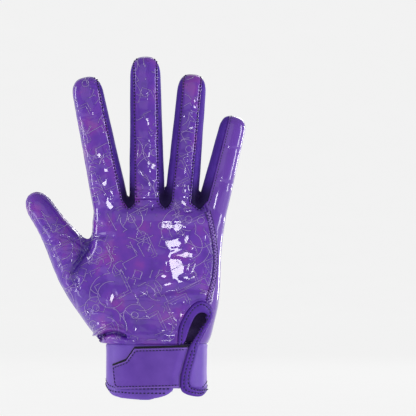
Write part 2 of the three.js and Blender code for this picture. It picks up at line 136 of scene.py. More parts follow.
def trunk_skin(points):
    x, y, z = points.T
    up = (z - SEAM_Z) / PALM_LENGTH
    left, right, back, palm = (size(up) for size in TRUNK_SIZES)
    across = np.where(x < 0, left, right) * HALF_KNUCKLES
    deep = np.where(y < 0, back, palm) * HALF_PALM
    past = np.maximum(0, up - KNUCKLES_FROM) / (1 - KNUCKLES_FROM)
    return bulged((x, np.hypot(y, past * deep)), (across, deep), 2.35)


def directions(digit):
    lean = math.radians(digit["lean"])
    return np.array([math.sin(lean), 0, math.cos(lean)]), np.array([math.cos(lean), 0, -math.sin(lean)])


def root_of(digit):
    forward = THUMB_FORWARD if digit is DIGITS["thumb"] else 0
    return np.array([digit["root"] * HALF_KNUCKLES, forward, SEAM_Z + digit["reach"] * PALM_LENGTH])


def bend_of(digit, along):
    return digit["curl"] * np.maximum(0, along - CURL_FROM) ** 2


def digit_skin(points, digit):
    rise, side = directions(digit)
    away = points - root_of(digit)
    up = away @ rise
    along = up / digit["length"]
    wide, deep = (size(along) for size in (THUMB_SIZES if digit is DIGITS["thumb"] else FINGER_SIZES))
    past = np.where(up < 0, -up, np.maximum(0, along - TIP_FROM) * digit["length"])
    round_end = np.where(up < 0, 9.0, (1 - TIP_FROM) * digit["length"])
    middle = away[:, 1] - bend_of(digit, along)
    half_wide, half_deep = wide * digit["width"] / 2, deep * digit["depth"] / 2
    cap = 2.15 if digit is DIGITS["thumb"] else 2.7
    return bulged((away @ side, middle, past), (half_wide, half_deep, round_end), 2.15, cap)


def joined(one, other, blend):
    """The union of two forms with a soft fillet between them."""
    near = np.maximum(blend - np.abs(one - other), 0) / blend
    return np.minimum(one, other) - near * near * blend / 4


def skin(points):
    """How far points lie outside the glove's form."""
    fingers = digit_skin(points, DIGITS["index"])
    for name in ("middle", "ring", "pinky"):
        fingers = joined(fingers, digit_skin(points, DIGITS[name]), 1.5)
    hand = joined(trunk_skin(points), fingers, 4.0)
    return joined(hand, digit_skin(points, DIGITS["thumb"]), 8.0)


def outward(points, form=skin, step=0.15):
    """Directions straight out of a form."""
    here = form(points)
    slopes = np.stack([form(points + step * axis) - here for axis in np.eye(3)], axis=1)
    return slopes / np.maximum(np.linalg.norm(slopes, axis=1, keepdims=True), 1e-9), here


def halved(points, faces):
    """Every triangle cut into four at the middles of its sides."""
    sides = np.sort(faces[:, [[0, 1], [1, 2], [2, 0]]].reshape(-1, 2), axis=1)
    keys, found = np.unique(sides, axis=0, return_inverse=True)
    middles = found.reshape(-1, 3) + len(points)
    a, b, c = faces.T
    ab, bc, ca = middles.T
    rows = [(a, ab, ca), (ab, b, bc), (ca, bc, c), (ab, bc, ca)]
    return np.vstack([points, points[keys].mean(axis=1)]), np.vstack([np.stack(row, axis=1) for row in rows])


def skin_sheet(step):
    """The form's whole skin as triangles about step long."""
    cell = 2 * step
    low, high = np.array([-92.0, -26, 28]), np.array([64.0, 27, 233])
    counts = np.ceil((high - low) / cell).astype(int)
    grids = np.meshgrid(*[low[i] + cell * np.arange(counts[i]) for i in range(3)], indexing="ij")
    heights = skin(np.column_stack([part.ravel() for part in grids])).reshape(counts)
    grid = openvdb.FloatGrid(5.0)
    grid.copyFromArray(heights.astype(np.float32))
    points, quads = grid.convertToQuads(isovalue=0.0)
    points = low + cell * points.astype(float)
    quads = quads.astype(int)
    points, faces = halved(points, np.vstack([quads[:, [0, 1, 2]], quads[:, [0, 2, 3]]]))
    for _ in range(3):
        out, here = outward(points)
        points = points - out * np.clip(here, -step, step)[:, None]
    corners = points[faces]
    turned = np.cross(corners[:, 1] - corners[:, 0], corners[:, 2] - corners[:, 0])
    if (turned * outward(corners.mean(axis=1))[0]).sum() < 0:
        faces = faces[:, ::-1]
    return points, faces


def tidied(points, faces):
    """The same sheet without points that no triangle uses."""
    used, found = np.unique(faces, return_inverse=True)
    return points[used], found.reshape(faces.shape)


def crossed_sides(faces, high):
    """The triangles with a corner apart from the other two, and their sides that run to the others."""
    count = high[faces].sum(axis=1)
    crossed = faces[(count == 1) | (count == 2)]
    alone = high[crossed].sum(axis=1) == 1
    apart = np.argmax(high[crossed] == alone[:, None], axis=1)
    a, b, c = (crossed[np.arange(len(crossed)), (apart + turn) % 3] for turn in range(3))
    sides = np.sort(np.vstack([np.stack([a, b], 1), np.stack([a, c], 1)]), axis=1)
    keys, found = np.unique(sides, axis=0, return_inverse=True)
    return (a, b, c), alone, keys, found.reshape(2, -1)


LEAST_SHARE = 0.06  # share of a side that a cut leaves, so that no sliver comes of it


def trimmed(sheet, *rooms):
    """The part of a sheet where every room is above zero, cut cleanly along the lines where one is zero."""
    for room in rooms:
        points, faces = sheet
        height = room(points)
        (a, b, c), alone, keys, found = crossed_sides(faces, height > 0)
        ab, ac = found + len(points)
        first, second = height[keys[:, 0]], height[keys[:, 1]]
        share = np.clip(first / (first - second), LEAST_SHARE, 1 - LEAST_SHARE)[:, None]
        cuts = points[keys[:, 0]] * (1 - share) + points[keys[:, 1]] * share
        whole = faces[(height > 0)[faces].all(axis=1)]
        corner = np.stack([a, ab, ac], 1)[alone]
        near = np.stack([ab, b, c], 1)[~alone]
        far = np.stack([ab, c, ac], 1)[~alone]
        sheet = tidied(np.vstack([points, cuts]), np.vstack([whole, corner, near, far]))
    return sheet


def middle_depth(x, z):
    """Depth of the side seams between the back and the palm, drawn from the nearest digits."""
    total = weights = 0
    for digit in DIGITS.values():
        rise, _ = directions(digit)
        root = root_of(digit)
        along = np.clip(((x - root[0]) * rise[0] + (z - root[2]) * rise[2]) / digit["length"], 0, 1)
        away_x = root[0] + along * digit["length"] * rise[0] - x
        away_z = root[2] + along * digit["length"] * rise[2] - z
        weight = 1 / (away_x ** 2 + away_z ** 2 + (NEAR_DIGIT * digit["width"]) ** 2) ** 2
        total = total + weight * (root[1] + bend_of(digit, along))
        weights = weights + weight
    return total / weights


def palmward(points):
    return points[:, 1] - middle_depth(points[:, 0], points[:, 2])


def inside(outline, points):
    """How far points lie inside an outline seen from the front; below zero outside it."""
    outline = np.array(outline, float)
    x, z = points[:, 0], points[:, 2]
    nearest = np.full(len(points), 1e9)
    within = np.zeros(len(points), bool)
    for (x0, z0), (x1, z1) in zip(outline, np.roll(outline, -1, axis=0)):
        run = max((x1 - x0) ** 2 + (z1 - z0) ** 2, 1e-9)
        share = np.clip(((x - x0) * (x1 - x0) + (z - z0) * (z1 - z0)) / run, 0, 1)
        away = (x - x0 - share * (x1 - x0)) ** 2 + (z - z0 - share * (z1 - z0)) ** 2
        nearest = np.minimum(nearest, away)
        if z1 != z0:
            crosses = ((z0 > z) != (z1 > z)) & (x < (x1 - x0) * (z - z0) / (z1 - z0) + x0)
            within ^= crosses
    return np.sqrt(nearest) * np.where(within, 1, -1)


def line_point(digit, share, along):
    """A point in the plane of the hand at shares of a digit's length and half width."""
    rise, side = directions(digit)
    point = root_of(digit) + rise * along * digit["length"] + side * share * digit["width"] / 2
    return point[0], point[2]


def along_at(digit, z):
    return (z - root_of(digit)[2]) / (digit["length"] * directions(digit)[0][2])


FAR = 400.0
PAST_TIP = 1.4
# Each gusset's two digits, and where its edges run on their backs, in shares of half their width.
GUSSETS = {
    "gusset_index_middle": ("index", 0.8, "middle", 0.8),
    "gusset_middle_ring": ("middle", 0.8, "ring", 0.68),
    "gusset_ring_pinky": ("ring", 0.68, "pinky", 0.45),
}


def gusset_outline(name, left_line, right_line, drop):
    left, right = DIGITS[GUSSETS[name][0]], DIGITS[GUSSETS[name][2]]
    low = CROTCH_Z - drop / 3  # the strip's corners, above its pointed end at the crotch
    left_low = line_point(left, left_line, along_at(left, low))
    right_low = line_point(right, -right_line, along_at(right, low))
    return [
        ((left_low[0] + right_low[0]) / 2, CROTCH_Z - drop),
        right_low,
        line_point(right, -right_line, PAST_TIP),
        line_point(left, left_line, PAST_TIP),
        left_low,
    ]


GUSSET_OUTLINES = {
    name: (gusset_outline(name, row[1], row[3], 6), gusset_outline(name, 0.88, 0.88, 3))
    for name, row in GUSSETS.items()
}


def in_gusset(name, points):
    back, palm = GUSSET_OUTLINES[name]
    return np.where(palmward(points) < 0, inside(back, points), inside(palm, points))


def in_gussets(points):
    return np.max([in_gusset(name, points) for name in GUSSETS], axis=0)


def clear_of_gussets(points):
    return -in_gussets(points)


# Share of half the cuff's width from the middle, and share of the cuff's height above the hem.
ULNAR_SEAM = [
    (1.0, 3.44), (1.07, 3.23), (1.14, 2.9), (1.178, 2.55), (1.142, 2.146), (1.036, 1.857), (1.018, 1.6),
    (0.8, 1.3), (0.6, 1.05),
]
BINDING = [
    (0.432, 1.008), (0.447, 1.276), (0.521, 1.454), (0.642, 1.632), (0.766, 1.746), (0.908, 1.786),
    (1.033, 1.714), (1.121, 1.6), (1.086, 1.438), (0.962, 1.249), (0.873, 1.1), (0.8, 0.95),
    (0.716, 0.676), (0.65, 0.43), (0.645, 0.284), (0.69, 0.216), (0.79, 0.19), (0.93, 0.19), (1.08, 0.21),
]


def placed(rows):
    return [(across * HALF_CUFF, up * SEAM_Z) for across, up in rows]


def rounded(outline, times=2):
    """An outline with its corners cut off softly. Its two ends stay."""
    for _ in range(times):
        near = [(0.75 * x0 + 0.25 * x1, 0.75 * z0 + 0.25 * z1)
                for (x0, z0), (x1, z1) in zip(outline, outline[1:])]
        far = [(0.25 * x0 + 0.75 * x1, 0.25 * z0 + 0.75 * z1)
               for (x0, z0), (x1, z1) in zip(outline, outline[1:])]
        outline = [outline[0]] + [point for pair in zip(near, far) for point in pair] + [outline[-1]]
    return outline


def between_fingers(along):
    ring, pinky = line_point(DIGITS["ring"], 0, along), line_point(DIGITS["pinky"], 0, along)
    return (ring[0] + pinky[0]) / 2, (ring[1] + pinky[1]) / 2


ULNAR_LINE = rounded(placed(ULNAR_SEAM))
ULNAR_OUTLINE = [
    (FAR, SEAM_Z - 20), (FAR, FAR), between_fingers(PAST_TIP),
    between_fingers(along_at(DIGITS["pinky"], CROTCH_Z)), *ULNAR_LINE, (ULNAR_LINE[-1][0], SEAM_Z - 20),
]
BINDING_LINE = rounded(placed(BINDING))
BINDING_OUTLINE = [*BINDING_LINE, (BINDING_LINE[-1][0], -SEAM_Z), (BINDING_LINE[0][0], -SEAM_Z)]


def ulnar(points):
    return inside(ULNAR_OUTLINE, points)


def palm_side(points):
    return np.maximum(palmward(points), ulnar(points))


def in_binding(points):
    return np.where(points[:, 1] < 0, inside(BINDING_OUTLINE, points), -9)


def clear_of_binding(points):
    return -in_binding(points)


def above_cuff(points):
    return points[:, 2] - SEAM_Z


lattice = np.random.default_rng(20).random((32, 32, 32)) * 2 - 1


def rolling(points, size, start=0):
    """Soft random heights from -1 to 1 with hills about size across."""
    place = points / size + start + 64
    cell = np.floor(place).astype(int)
    part = place - cell
    part = part * part * (3 - 2 * part)
    total = 0
    for corner in product((0, 1), repeat=3):
        at = (cell + corner) % 32
        weight = np.prod(np.where(corner, part, 1 - part), axis=1)
        total = total + weight * lattice[at[:, 0], at[:, 1], at[:, 2]]
    return total


def ramp(at, low, high):
    share = np.clip((at - low) / (high - low), 0, 1)
    return share * share * (3 - 2 * share)


# Folds, hollows and ridges: side (-1 back, 1 palm), the line (x, z), the width and the height in mm.
FOLDS = [
    (-1, [(-47.1, 103), (-56.8, 79.7)], 4.6, -2.2), (-1, [(-48, 101), (-52, 93), (-57.5, 85)], 1.5, -1.4),
    (-1, [(-50, 100), (-60, 101), (-69, 97)], 1.1, -0.52),
    (-1, [(-51, 97), (-61, 94.5), (-67, 89)], 1, -0.45),
    (-1, [(-49, 103), (-58, 108), (-64, 109)], 1, -0.45),
    (-1, [(-54, 104.5), (-62, 104), (-68, 103)], 0.9, 0.38),
    (-1, [(-55, 90), (-60, 86), (-63, 79)], 1.2, -0.52), (-1, [(-53, 80), (-56, 70), (-54, 62)], 1.5, -0.6),
    (-1, [(-42, 43), (-36, 46.6), (-29, 48), (-23, 46.4), (-18.5, 43.4)], 1.15, 2.2),
    (-1, [(-39, 40.5), (-34, 43.6), (-28, 44.8), (-21.5, 42.8)], 1.5, -3.6),
    (-1, [(-20, 41.5), (-12, 40.6), (0, 41.6)], 1.6, -0.75),
    (-1, [(-44, 50), (-38, 52.5), (-30, 52)], 1.4, -0.75),
    (-1, [(-45, 56), (-38, 58), (-31, 56.5)], 1.5, 0.52),
    (-1, [(-14.4, 73.6), (-2, 77.5), (8, 77)], 1.7, 0.75),
    (-1, [(-12, 70.5), (2, 71.5), (18, 74), (30, 73)], 2.1, -1),
    (-1, [(2, 67), (16, 70), (31, 70.5)], 1.8, 0.75),
    (-1, [(-22, 66), (-6, 66.5), (8, 63), (20, 66)], 2.2, -0.9),
    (-1, [(-20, 60), (-6, 58.5), (12, 58)], 1.8, 0.45), (-1, [(-16, 54), (0, 53.5), (11, 50)], 2, -0.52),
    (-1, [(2, 47.5), (8, 45), (13, 46)], 1.3, 0.45), (-1, [(-26, 134), (-31, 128), (-30, 120)], 2.2, -0.75),
    (-1, [(-47, 106), (-38, 110), (-30, 109)], 1.6, -0.75),
    (-1, [(-17, 140.8), (-4, 140.2), (8, 140.8)], 0.9, -0.68),
    (-1, [(-18, 130), (-8, 128.5), (6, 130.5)], 1.8, -0.52),
    (-1, [(8, 130), (18, 126), (30, 127.5)], 1.9, -0.75),
    (-1, [(20, 119), (28, 121), (34, 118)], 1.8, 0.68),
    (1, [(-30.8, 48.6), (-4, 46), (26.4, 46.7)], 3.4, -1.4),
    (1, [(-24, 55), (-6, 53), (18, 55)], 2.6, -0.6),
    (1, [(-2.2, 58.3), (-12, 76), (-24.2, 106.8)], 5, -1.6), (1, [(2.2, 85.5), (8.8, 97.1)], 17, -3),
    (1, [(-30, 92), (-12, 106), (14, 110), (31, 104)], 2.6, -0.7),
    (1, [(-26, 118), (0, 121), (28, 116)], 2.4, -0.6), (1, [(-44, 62), (-50, 76), (-52, 88)], 3, -0.9),
    (1, [(24, 60), (29, 80), (30, 96)], 3.2, -0.6),
]

# Where the digits' joints crease the cloth: side, digit, share of its length, width and height in mm.
KNUCKLE_FOLDS = [
    (side, DIGITS[name], along + shift, wide, height)
    for name, joints in {"index": (0.5, 0.76), "middle": (0.53, 0.78), "ring": (0.5, 0.76),
                         "pinky": (0.48, 0.74), "thumb": (0.7,)}.items()
    for along in joints
    for side, shift, wide, height in ((-1, 0.012, 1.2, -0.28), (-1, -0.014, 1.2, -0.22), (1, 0.0, 2.6, -0.3))
]


def from_line(line, points):
    """Distance of points from a line of corners, seen from the front."""
    x, z = points[:, 0], points[:, 2]
    nearest = np.full(len(points), 1e9)
    for (x0, z0), (x1, z1) in zip(line, line[1:]):
        share = ((x - x0) * (x1 - x0) + (z - z0) * (z1 - z0)) / ((x1 - x0) ** 2 + (z1 - z0) ** 2)
        share = np.clip(share, 0, 1)
        nearest = np.minimum(nearest, np.hypot(x - x0 - share * (x1 - x0), z - z0 - share * (z1 - z0)))
    return nearest


def slack(points):
    """How far the hand's cloth stands out from the form, below zero where it folds in."""
    lift = np.zeros(len(points))
    depth = palmward(points)
    for side, line, wide, height in FOLDS:
        facing = ramp(side * depth, 0.3, 4)
        lift += facing * height * np.exp(-((from_line(rounded(line), points) / wide) ** 2))
    for side, digit, along, wide, height in KNUCKLE_FOLDS:
        rise, across = directions(digit)
        away = points - root_of(digit)
        up = away @ rise - along * digit["length"] + 0.6 * np.cos(away @ across / 2.6 + along * 9)
        near = np.abs(away @ across) < 0.75 * digit["width"]
        facing = ramp(side * depth, 1, 6) * near
        lift += facing * height * np.exp(-((up / wide) ** 2))
    return lift * ramp(points[:, 2], SEAM_Z + 0.5, SEAM_Z + 4)


def rim_of(faces):
    """Points on the free edges of a sheet."""
    sides = np.sort(faces[:, [[0, 1], [1, 2], [2, 0]]].reshape(-1, 2), axis=1)
    keys, uses = np.unique(sides, axis=0, return_counts=True)
    return keys[uses == 1]


def from_rim(points, faces):
    """Distance of every point of a sheet from its nearest free edge."""
    sides = rim_of(faces)
    rim = np.vstack([points[sides[:, 0]], points[sides].mean(axis=1)])
    tree = kdtree.KDTree(len(rim))
    for i, place in enumerate(rim):
        tree.insert(place, i)
    tree.balance()
    return np.array([tree.find(place)[2] for place in points])


def sewn_edge(away, ridge, dip, at=1.9):
    """Height of a sewn edge: it rolls under at the seam, fills over its hem and dips at the stitches."""
    rolled = -0.75 * np.exp(-((away / 0.5) ** 2))
    filled = ridge * np.exp(-(((away - 0.55 * at) / (0.28 * at)) ** 2))
    return rolled + filled - dip * np.exp(-(((away - at) / 0.42) ** 2))


def colour(code):
    """Blender's linear colour for an sRGB hex value."""
    shares = [int(code[i:i + 2], 16) / 255 for i in (1, 3, 5)]
    return (*[s / 12.92 if s <= 0.04045 else ((s + 0.055) / 1.055) ** 2.4 for s in shares], 1)


def add(tree, kind, values=None, links=None, stops=(), **settings):
    """A node with its settings, values and links, and with a ramp's places and colours if it is one."""
    node = tree.nodes.new("ShaderNode" + kind)
    for key, value in settings.items():
        setattr(node, key, value)
    for socket, value in (values or {}).items():
        node.inputs[socket].default_value = value
    for socket, source in (links or {}).items():
        tree.links.new(source, node.inputs[socket])
    if stops:
        elements = node.color_ramp.elements
        while len(elements) < len(stops):
            elements.new(0.5)
        for element, (place, code) in zip(elements, stops):
            element.position, element.color = place, colour(code)
    return node


def finish_of(name, **values):
    """A new material with its node tree and shader, and the places on its piece in metres."""
    material = bpy.data.materials.new(name)
    material.use_nodes = True
    tree = material.node_tree
    shader = tree.nodes["Principled BSDF"]
    for socket, value in values.items():
        shader.inputs[socket.replace("_", " ")].default_value = value
    return material, tree, shader, add(tree, "TexCoord").outputs["Object"]


def feed(tree, shader, **sources):
    for socket, source in sources.items():
        tree.links.new(source, shader.inputs[socket.replace("_", " ")])


def dyed(tree, place, patch, detail, stops, rough=0.5):
    """Uneven dye: its colours drift over patches about this many metres across."""
    drift = {"Scale": 1 / patch, "Detail": detail, "Roughness": rough}
    cloudy = add(tree, "TexNoise", drift, {"Vector": place})
    return add(tree, "ValToRGB", links={"Fac": cloudy.outputs[0]}, stops=stops).outputs[0]


# Smooth silicone rubber cast on cloth: a wet, mirror-like gloss over one even purple.
silicone, tree, shader, place = finish_of(
    "silicone_rubber", Roughness=0.3, IOR=1.43, Specular_IOR_Level=0.2, Coat_Weight=1.0, Coat_Roughness=0.03,
    Coat_IOR=1.52)
purple = dyed(tree, place, 0.03, 2.0, [(0.3, "#6033a6"), (0.7, "#6e3cb4")])
flow = add(tree, "TexNoise", {"Scale": 1 / 0.006, "Detail": 1.0}, {"Vector": place})
bump = add(tree, "Bump", {"Strength": 0.5, "Distance": 0.00004}, {"Height": flow.outputs[0]})
feed(tree, shader, Base_Color=purple, Normal=bump.outputs[0], Coat_Normal=bump.outputs[0])


def looped(name, roughness, loop, stops):
    """Matt cloth of small loops, with painted shade in the middle of each. Their size is in metres."""
    material, tree, shader, place = finish_of(name, Roughness=roughness)
    loops = add(tree, "TexVoronoi", {"Scale": 1 / loop}, {"Vector": place})
    dye = add(tree, "ValToRGB", links={"Fac": loops.outputs[0]}, stops=stops)
    feed(tree, shader, Base_Color=dye.outputs[0])
    return material


# The cloth's plain knitted inside, seen only through the slit and the wrist opening.
lining = looped("knitted_lining", 0.9, 0.0012, [(0.1, "#54407e"), (0.8, "#66508f")])


def made(name, points, faces, materials, node=None, slot=None, attributes=None):
    """A smooth-shaded object from points in mm, riding on the glove."""
    mesh = bpy.data.meshes.new(name)
    mesh.vertices.add(len(points))
    mesh.vertices.foreach_set("co", (np.asarray(points) / 1000).astype(np.float32).ravel())
    corners = faces.shape[1]
    mesh.loops.add(faces.size)
    mesh.loops.foreach_set("vertex_index", faces.astype(np.int32).ravel())
    mesh.polygons.add(len(faces))
    mesh.polygons.foreach_set("loop_start", np.arange(0, faces.size, corners, dtype=np.int32))
    mesh.update(calc_edges=True)
    mesh.polygons.foreach_set("use_smooth", np.ones(len(faces), bool))
    for key, values in (attributes or {}).items():
        mesh.attributes.new(key, "FLOAT", "POINT").data.foreach_set("value", values.astype(np.float32))
    piece = bpy.data.objects.new(name, mesh)
    bpy.context.scene.collection.objects.link(piece)
    for material in materials:
        mesh.materials.append(material)
    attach(piece, "root")
    if node:
        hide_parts(node)
    return piece


def thick(piece, wall, keep_inside):
    """Closes a sheet into cloth of its real thickness, with a plainer mesh on its inner side."""
    piece.vertex_groups.new(name="inner")
    solid = piece.modifiers.new("wall", "SOLIDIFY")
    solid.thickness, solid.offset = wall / 1000, -1
    solid.shell_vertex_group = "inner"
    solid.material_offset = 1
    if keep_inside < 1:  # the ratio counts both sides of the cloth
        plain = piece.modifiers.new("inside", "DECIMATE")
        plain.vertex_group, plain.ratio = "inner", 0.5 + 0.5 * keep_inside
    scene = bpy.context.evaluated_depsgraph_get()
    mesh = bpy.data.meshes.new_from_object(piece.evaluated_get(scene))
    piece.modifiers.clear()
    piece.data = mesh
    mesh.name = piece.name


def level_lines(points, faces, values, level):
    """Chains of places on a sheet where a value that its points carry crosses a level."""
    _, _, keys, found = crossed_sides(faces, values > level)
    share = ((level - values[keys[:, 0]]) / (values[keys[:, 1]] - values[keys[:, 0]]))[:, None]
    places = points[keys[:, 0]] * (1 - share) + points[keys[:, 1]] * share
    links = defaultdict(list)
    for one, other in found.T.tolist():
        links[one].append(other)
        links[other].append(one)
    free = set(links)
    chains = []
    for start in sorted(links, key=lambda place: len(links[place])):
        chain = []
        place = start
        while place in free:
            free.discard(place)
            chain.append(place)
            place = next((after for after in links[place] if after in free), None)
        if len(chain) > 3:
            chains.append(places[chain])
    return chains


def softened(chain, times=12):
    for _ in range(times):
        chain = np.vstack([chain[:1], 0.25 * chain[:-2] + 0.5 * chain[1:-1] + 0.25 * chain[2:], chain[-1:]])
    return chain


def run_along(chain):
    return np.concatenate([[0], np.cumsum(np.linalg.norm(np.diff(chain, axis=0), axis=1))])


def spaced(chain, pitch):
    """Places at an even pitch along a chain, and the way it runs at each."""
    run = run_along(chain)
    at = np.linspace(0, run[-1], max(int(run[-1] / pitch), 1) + 1)
    at = (at[1:] + at[:-1]) / 2
    pick = [np.column_stack([np.interp(at + shift, run, part) for part in chain.T])
            for shift in (-0.3, 0, 0.3)]
    way = pick[2] - pick[0]
    return pick[1], way / np.maximum(np.linalg.norm(way, axis=1, keepdims=True), 1e-9)


THREAD_SIDES = 6
# Rings of a stitch: share of half its length, of its radius, and its height in radii.
THREAD_RINGS = [(-1.0, 0.5, -0.5), (-0.7, 0.95, 0.15), (0.0, 1.0, 0.5), (0.7, 0.95, 0.15), (1.0, 0.5, -0.5)]


def threads(middles, ways, outs, length, radius):
    """Short threads laid on cloth: thick in the middle and dipping into it at both ends."""
    turns = np.linspace(0, 2 * math.pi, THREAD_SIDES, endpoint=False)
    sides = np.cross(ways, outs)
    rings = []
    for along, thick, height in THREAD_RINGS:
        middle = middles + ways * along * length / 2 + outs * (height * radius)
        for turn in turns:
            rings.append(middle + thick * radius * (math.cos(turn) * sides + math.sin(turn) * outs))
    points = np.stack(rings, axis=1)
    faces = []
    for ring in range(len(THREAD_RINGS) - 1):
        for side in range(THREAD_SIDES):
            a, b = ring * THREAD_SIDES + side, ring * THREAD_SIDES + (side + 1) % THREAD_SIDES
            faces += [(a, b, b + THREAD_SIDES), (a, b + THREAD_SIDES, a + THREAD_SIDES)]
    last = (len(THREAD_RINGS) - 1) * THREAD_SIDES
    for side in range(1, THREAD_SIDES - 1):
        faces += [(0, side + 1, side), (last, last + side, last + side + 1)]
    steps = np.arange(len(middles))[:, None, None] * points.shape[1]
    return points.reshape(-1, 3), (np.array(faces)[None] + steps).reshape(-1, 3)


def twisted(name, roughness, twist, stops):
    """Sewing thread with a faint shine, its strands shading it. Their size is in metres."""
    material, tree, shader, place = finish_of(name, Roughness=roughness)
    strand = add(tree, "TexNoise", {"Scale": 1 / twist, "Detail": 1.0}, {"Vector": place})
    dye = add(tree, "ValToRGB", links={"Fac": strand.outputs[0]}, stops=stops)
    bump = add(tree, "Bump", {"Strength": 0.4, "Distance": 0.00006}, {"Height": strand.outputs[0]})
    feed(tree, shader, Base_Color=dye.outputs[0], Normal=bump.outputs[0])
    return material


# Bonded nylon sewing thread, dyed darker than the cloth.
thread = twisted("nylon_thread", 0.55, 0.0008, [(0.35, "#130734"), (0.65, "#221050")])


def sewn(name, chains, room, slot, pitch=1.9, length=1.2, radius=0.33, form=skin, cloth=None):
    """One row of stitches along the parts of the chains where room is above zero."""
    middles, ways = [], []
    for chain in chains:
        spots, way = spaced(softened(chain), pitch)
        keep = room(spots) > 0
        middles.append(spots[keep])
        ways.append(way[keep])
    middles, ways = np.vstack(middles), np.vstack(ways)
    outs, _ = outward(middles, form)
    ways = ways - outs * (ways * outs).sum(axis=1, keepdims=True)
    ways /= np.linalg.norm(ways, axis=1, keepdims=True)
    return made(name, *threads(middles, ways, outs, length, radius), [cloth or thread], slot=slot)


PANEL_WALL = 1.3
PALM_ROW = 1.9  # from the palm's edge to its stitches
smooth_sheet = skin_sheet(0.75)
points, faces = trimmed(smooth_sheet, palm_side, clear_of_gussets, clear_of_binding, above_cuff)
out, _ = outward(points)
away = from_rim(points, faces)
lift = slack(points) + sewn_edge(away, 0.12, 0.12)
lift = lift + 0.12 * rolling(points, 17) + 0.05 * rolling(points, 8, 5)
palm = (points + out * lift[:, None], faces)
thick(made("palm_silicone_cloth", *palm, [silicone, lining], "palm_panel", "palm_silicone"), PANEL_WALL, 0.4)


BESIDE_SEAM = 3.4  # how far from a gusset its two rows of stitches may run


def beside_gussets(points):
    return BESIDE_SEAM + in_gussets(points)


def beside_side_seam(points):
    """Along the gussets and the seam between the back and the palm, 14 mm clear of the cuff."""
    seam = np.where(ulnar(points) < -4, 3.0 - np.abs(palmward(points)), -1)
    return np.minimum(np.maximum(beside_gussets(points), seam), above_cuff(points) - 14)


sewn("palm_stitches", level_lines(*palm, away, PALM_ROW), beside_side_seam, "palm_silicone", radius=0.26)

# Back panel
# Thin glossy film laid over cloth and pressed with fine raised lines, cut in one sheet for the
# back of the hand, the index and ring fingers and the thumb, and sewn in round its edges.


def ridge_lines(tree, at, levels, half_width):
    """1 on thin lines where a value meets one of the levels, falling to 0 beside them."""
    highest = None
    for level in levels:
        away = add(tree, "Math", {1: level}, {0: at}, operation="SUBTRACT").outputs[0]
        away = add(tree, "Math", links={0: away}, operation="ABSOLUTE").outputs[0]
        line = add(tree, "MapRange", {"From Min": 2.7 * half_width, "From Max": 0.1 * half_width},
                   {"Value": away}, interpolation_type="SMOOTHSTEP").outputs[0]
        if highest:
            line = add(tree, "Math", links={0: highest, 1: line}, operation="MAXIMUM").outputs[0]
        highest = line
    return highest


def tinted(tree, base, share, code):
    """A colour that turns to another by a share that the piece's mesh carries."""
    carried = add(tree, "Attribute", attribute_name=share).outputs["Fac"]
    turned = add(tree, "MixRGB", {"Color2": colour(code)}, {"Fac": carried, "Color1": base})
    return turned.outputs[0]


# Glossy polyurethane film: a hard clear gloss that breaks into crisp patches over uneven purple,
# pressed with a plain design of bent lines, arcs, rings and short strokes about 0.5 mm wide.
film, tree, shader, place = finish_of(
    "pressed_film", Roughness=0.5, IOR=1.45, Specular_IOR_Level=0.12, Coat_Weight=1.0, Coat_Roughness=0.03,
    Coat_IOR=1.52)
split = add(tree, "SeparateXYZ", links={0: place}).outputs
flat = add(tree, "CombineXYZ", links={0: split["X"], 1: split["Z"]}).outputs[0]
HALF_LINE = 0.00025  # in metres; real lines are about half as wide, too thin to show
# Each family of lines: the kind of cell and its turn, the cell's size in metres, the levels in it
# that are lines, and where and how sharply a soft noise keeps them to patches.
design = None
for metric, turn, cell, levels, patch, low, high in (
    ("MANHATTAN", 0.35, 0.026, (0.34, 0.43), 3.0, 0.48, 0.5),
    ("EUCLIDEAN", 0.9, 0.034, (0.26, 0.42), 8.0, 0.51, 0.53),
    ("CHEBYCHEV", -0.5, 0.021, (0.36,), 13.0, 0.5, 0.52),
    ("EUCLIDEAN", 0.2, 0.015, (0.15, 0.5), 19.0, 0.53, 0.55),
    ("MANHATTAN", 1.1, 0.012, (0.3,), 27.0, 0.52, 0.54),
):
    turned = add(tree, "VectorRotate", {"Angle": turn}, {"Vector": flat}).outputs[0]
    cells = add(tree, "TexVoronoi", {"Scale": 1 / cell, "Randomness": 0.85}, {"Vector": turned},
                voronoi_dimensions="2D", distance=metric).outputs["Distance"]
    moved = add(tree, "VectorMath", {1: (patch, patch, 0)}, {0: flat}, operation="ADD").outputs[0]
    zone = add(tree, "TexNoise", {"Scale": 1 / 0.021, "Detail": 1.0}, {"Vector": moved}).outputs[0]
    kept = add(tree, "MapRange", {"From Min": low, "From Max": high}, {"Value": zone}).outputs[0]
    lines = ridge_lines(tree, cells, levels, HALF_LINE / cell)
    lines = add(tree, "Math", links={0: lines, 1: kept}, operation="MULTIPLY").outputs[0]
    if design:
        lines = add(tree, "Math", links={0: design, 1: lines}, operation="MAXIMUM").outputs[0]
    design = lines
pressed = add(tree, "Attribute", attribute_name="pressed").outputs["Fac"]
design = add(tree, "Math", links={0: design, 1: pressed}, operation="MULTIPLY").outputs[0]
purple = dyed(tree, place, 0.017, 3.0, [
    (0.32, "#54299e"), (0.46, "#6331b0"), (0.56, "#6e35b2"), (0.68, "#8237ae")], 0.6)
# Painted highlight and shade: each line is coloured paler on its crest and darker on its flanks, as light
# and shade on a raised line.
crest = add(tree, "MapRange", {"From Min": 0.6, "From Max": 0.9}, {"Value": design}).outputs[0]
flank = add(tree, "Math", links={0: design, 1: crest}, operation="SUBTRACT").outputs[0]
flank_shade = add(tree, "Math", {1: 0.9}, {0: flank}, operation="MULTIPLY", use_clamp=True).outputs[0]
shaded = add(tree, "MixRGB", {"Color2": colour("#2c1080")}, {"Fac": flank_shade, "Color1": purple})
crest_highlight = add(tree, "Math", {1: 0.72}, {0: crest}, operation="MULTIPLY").outputs[0]
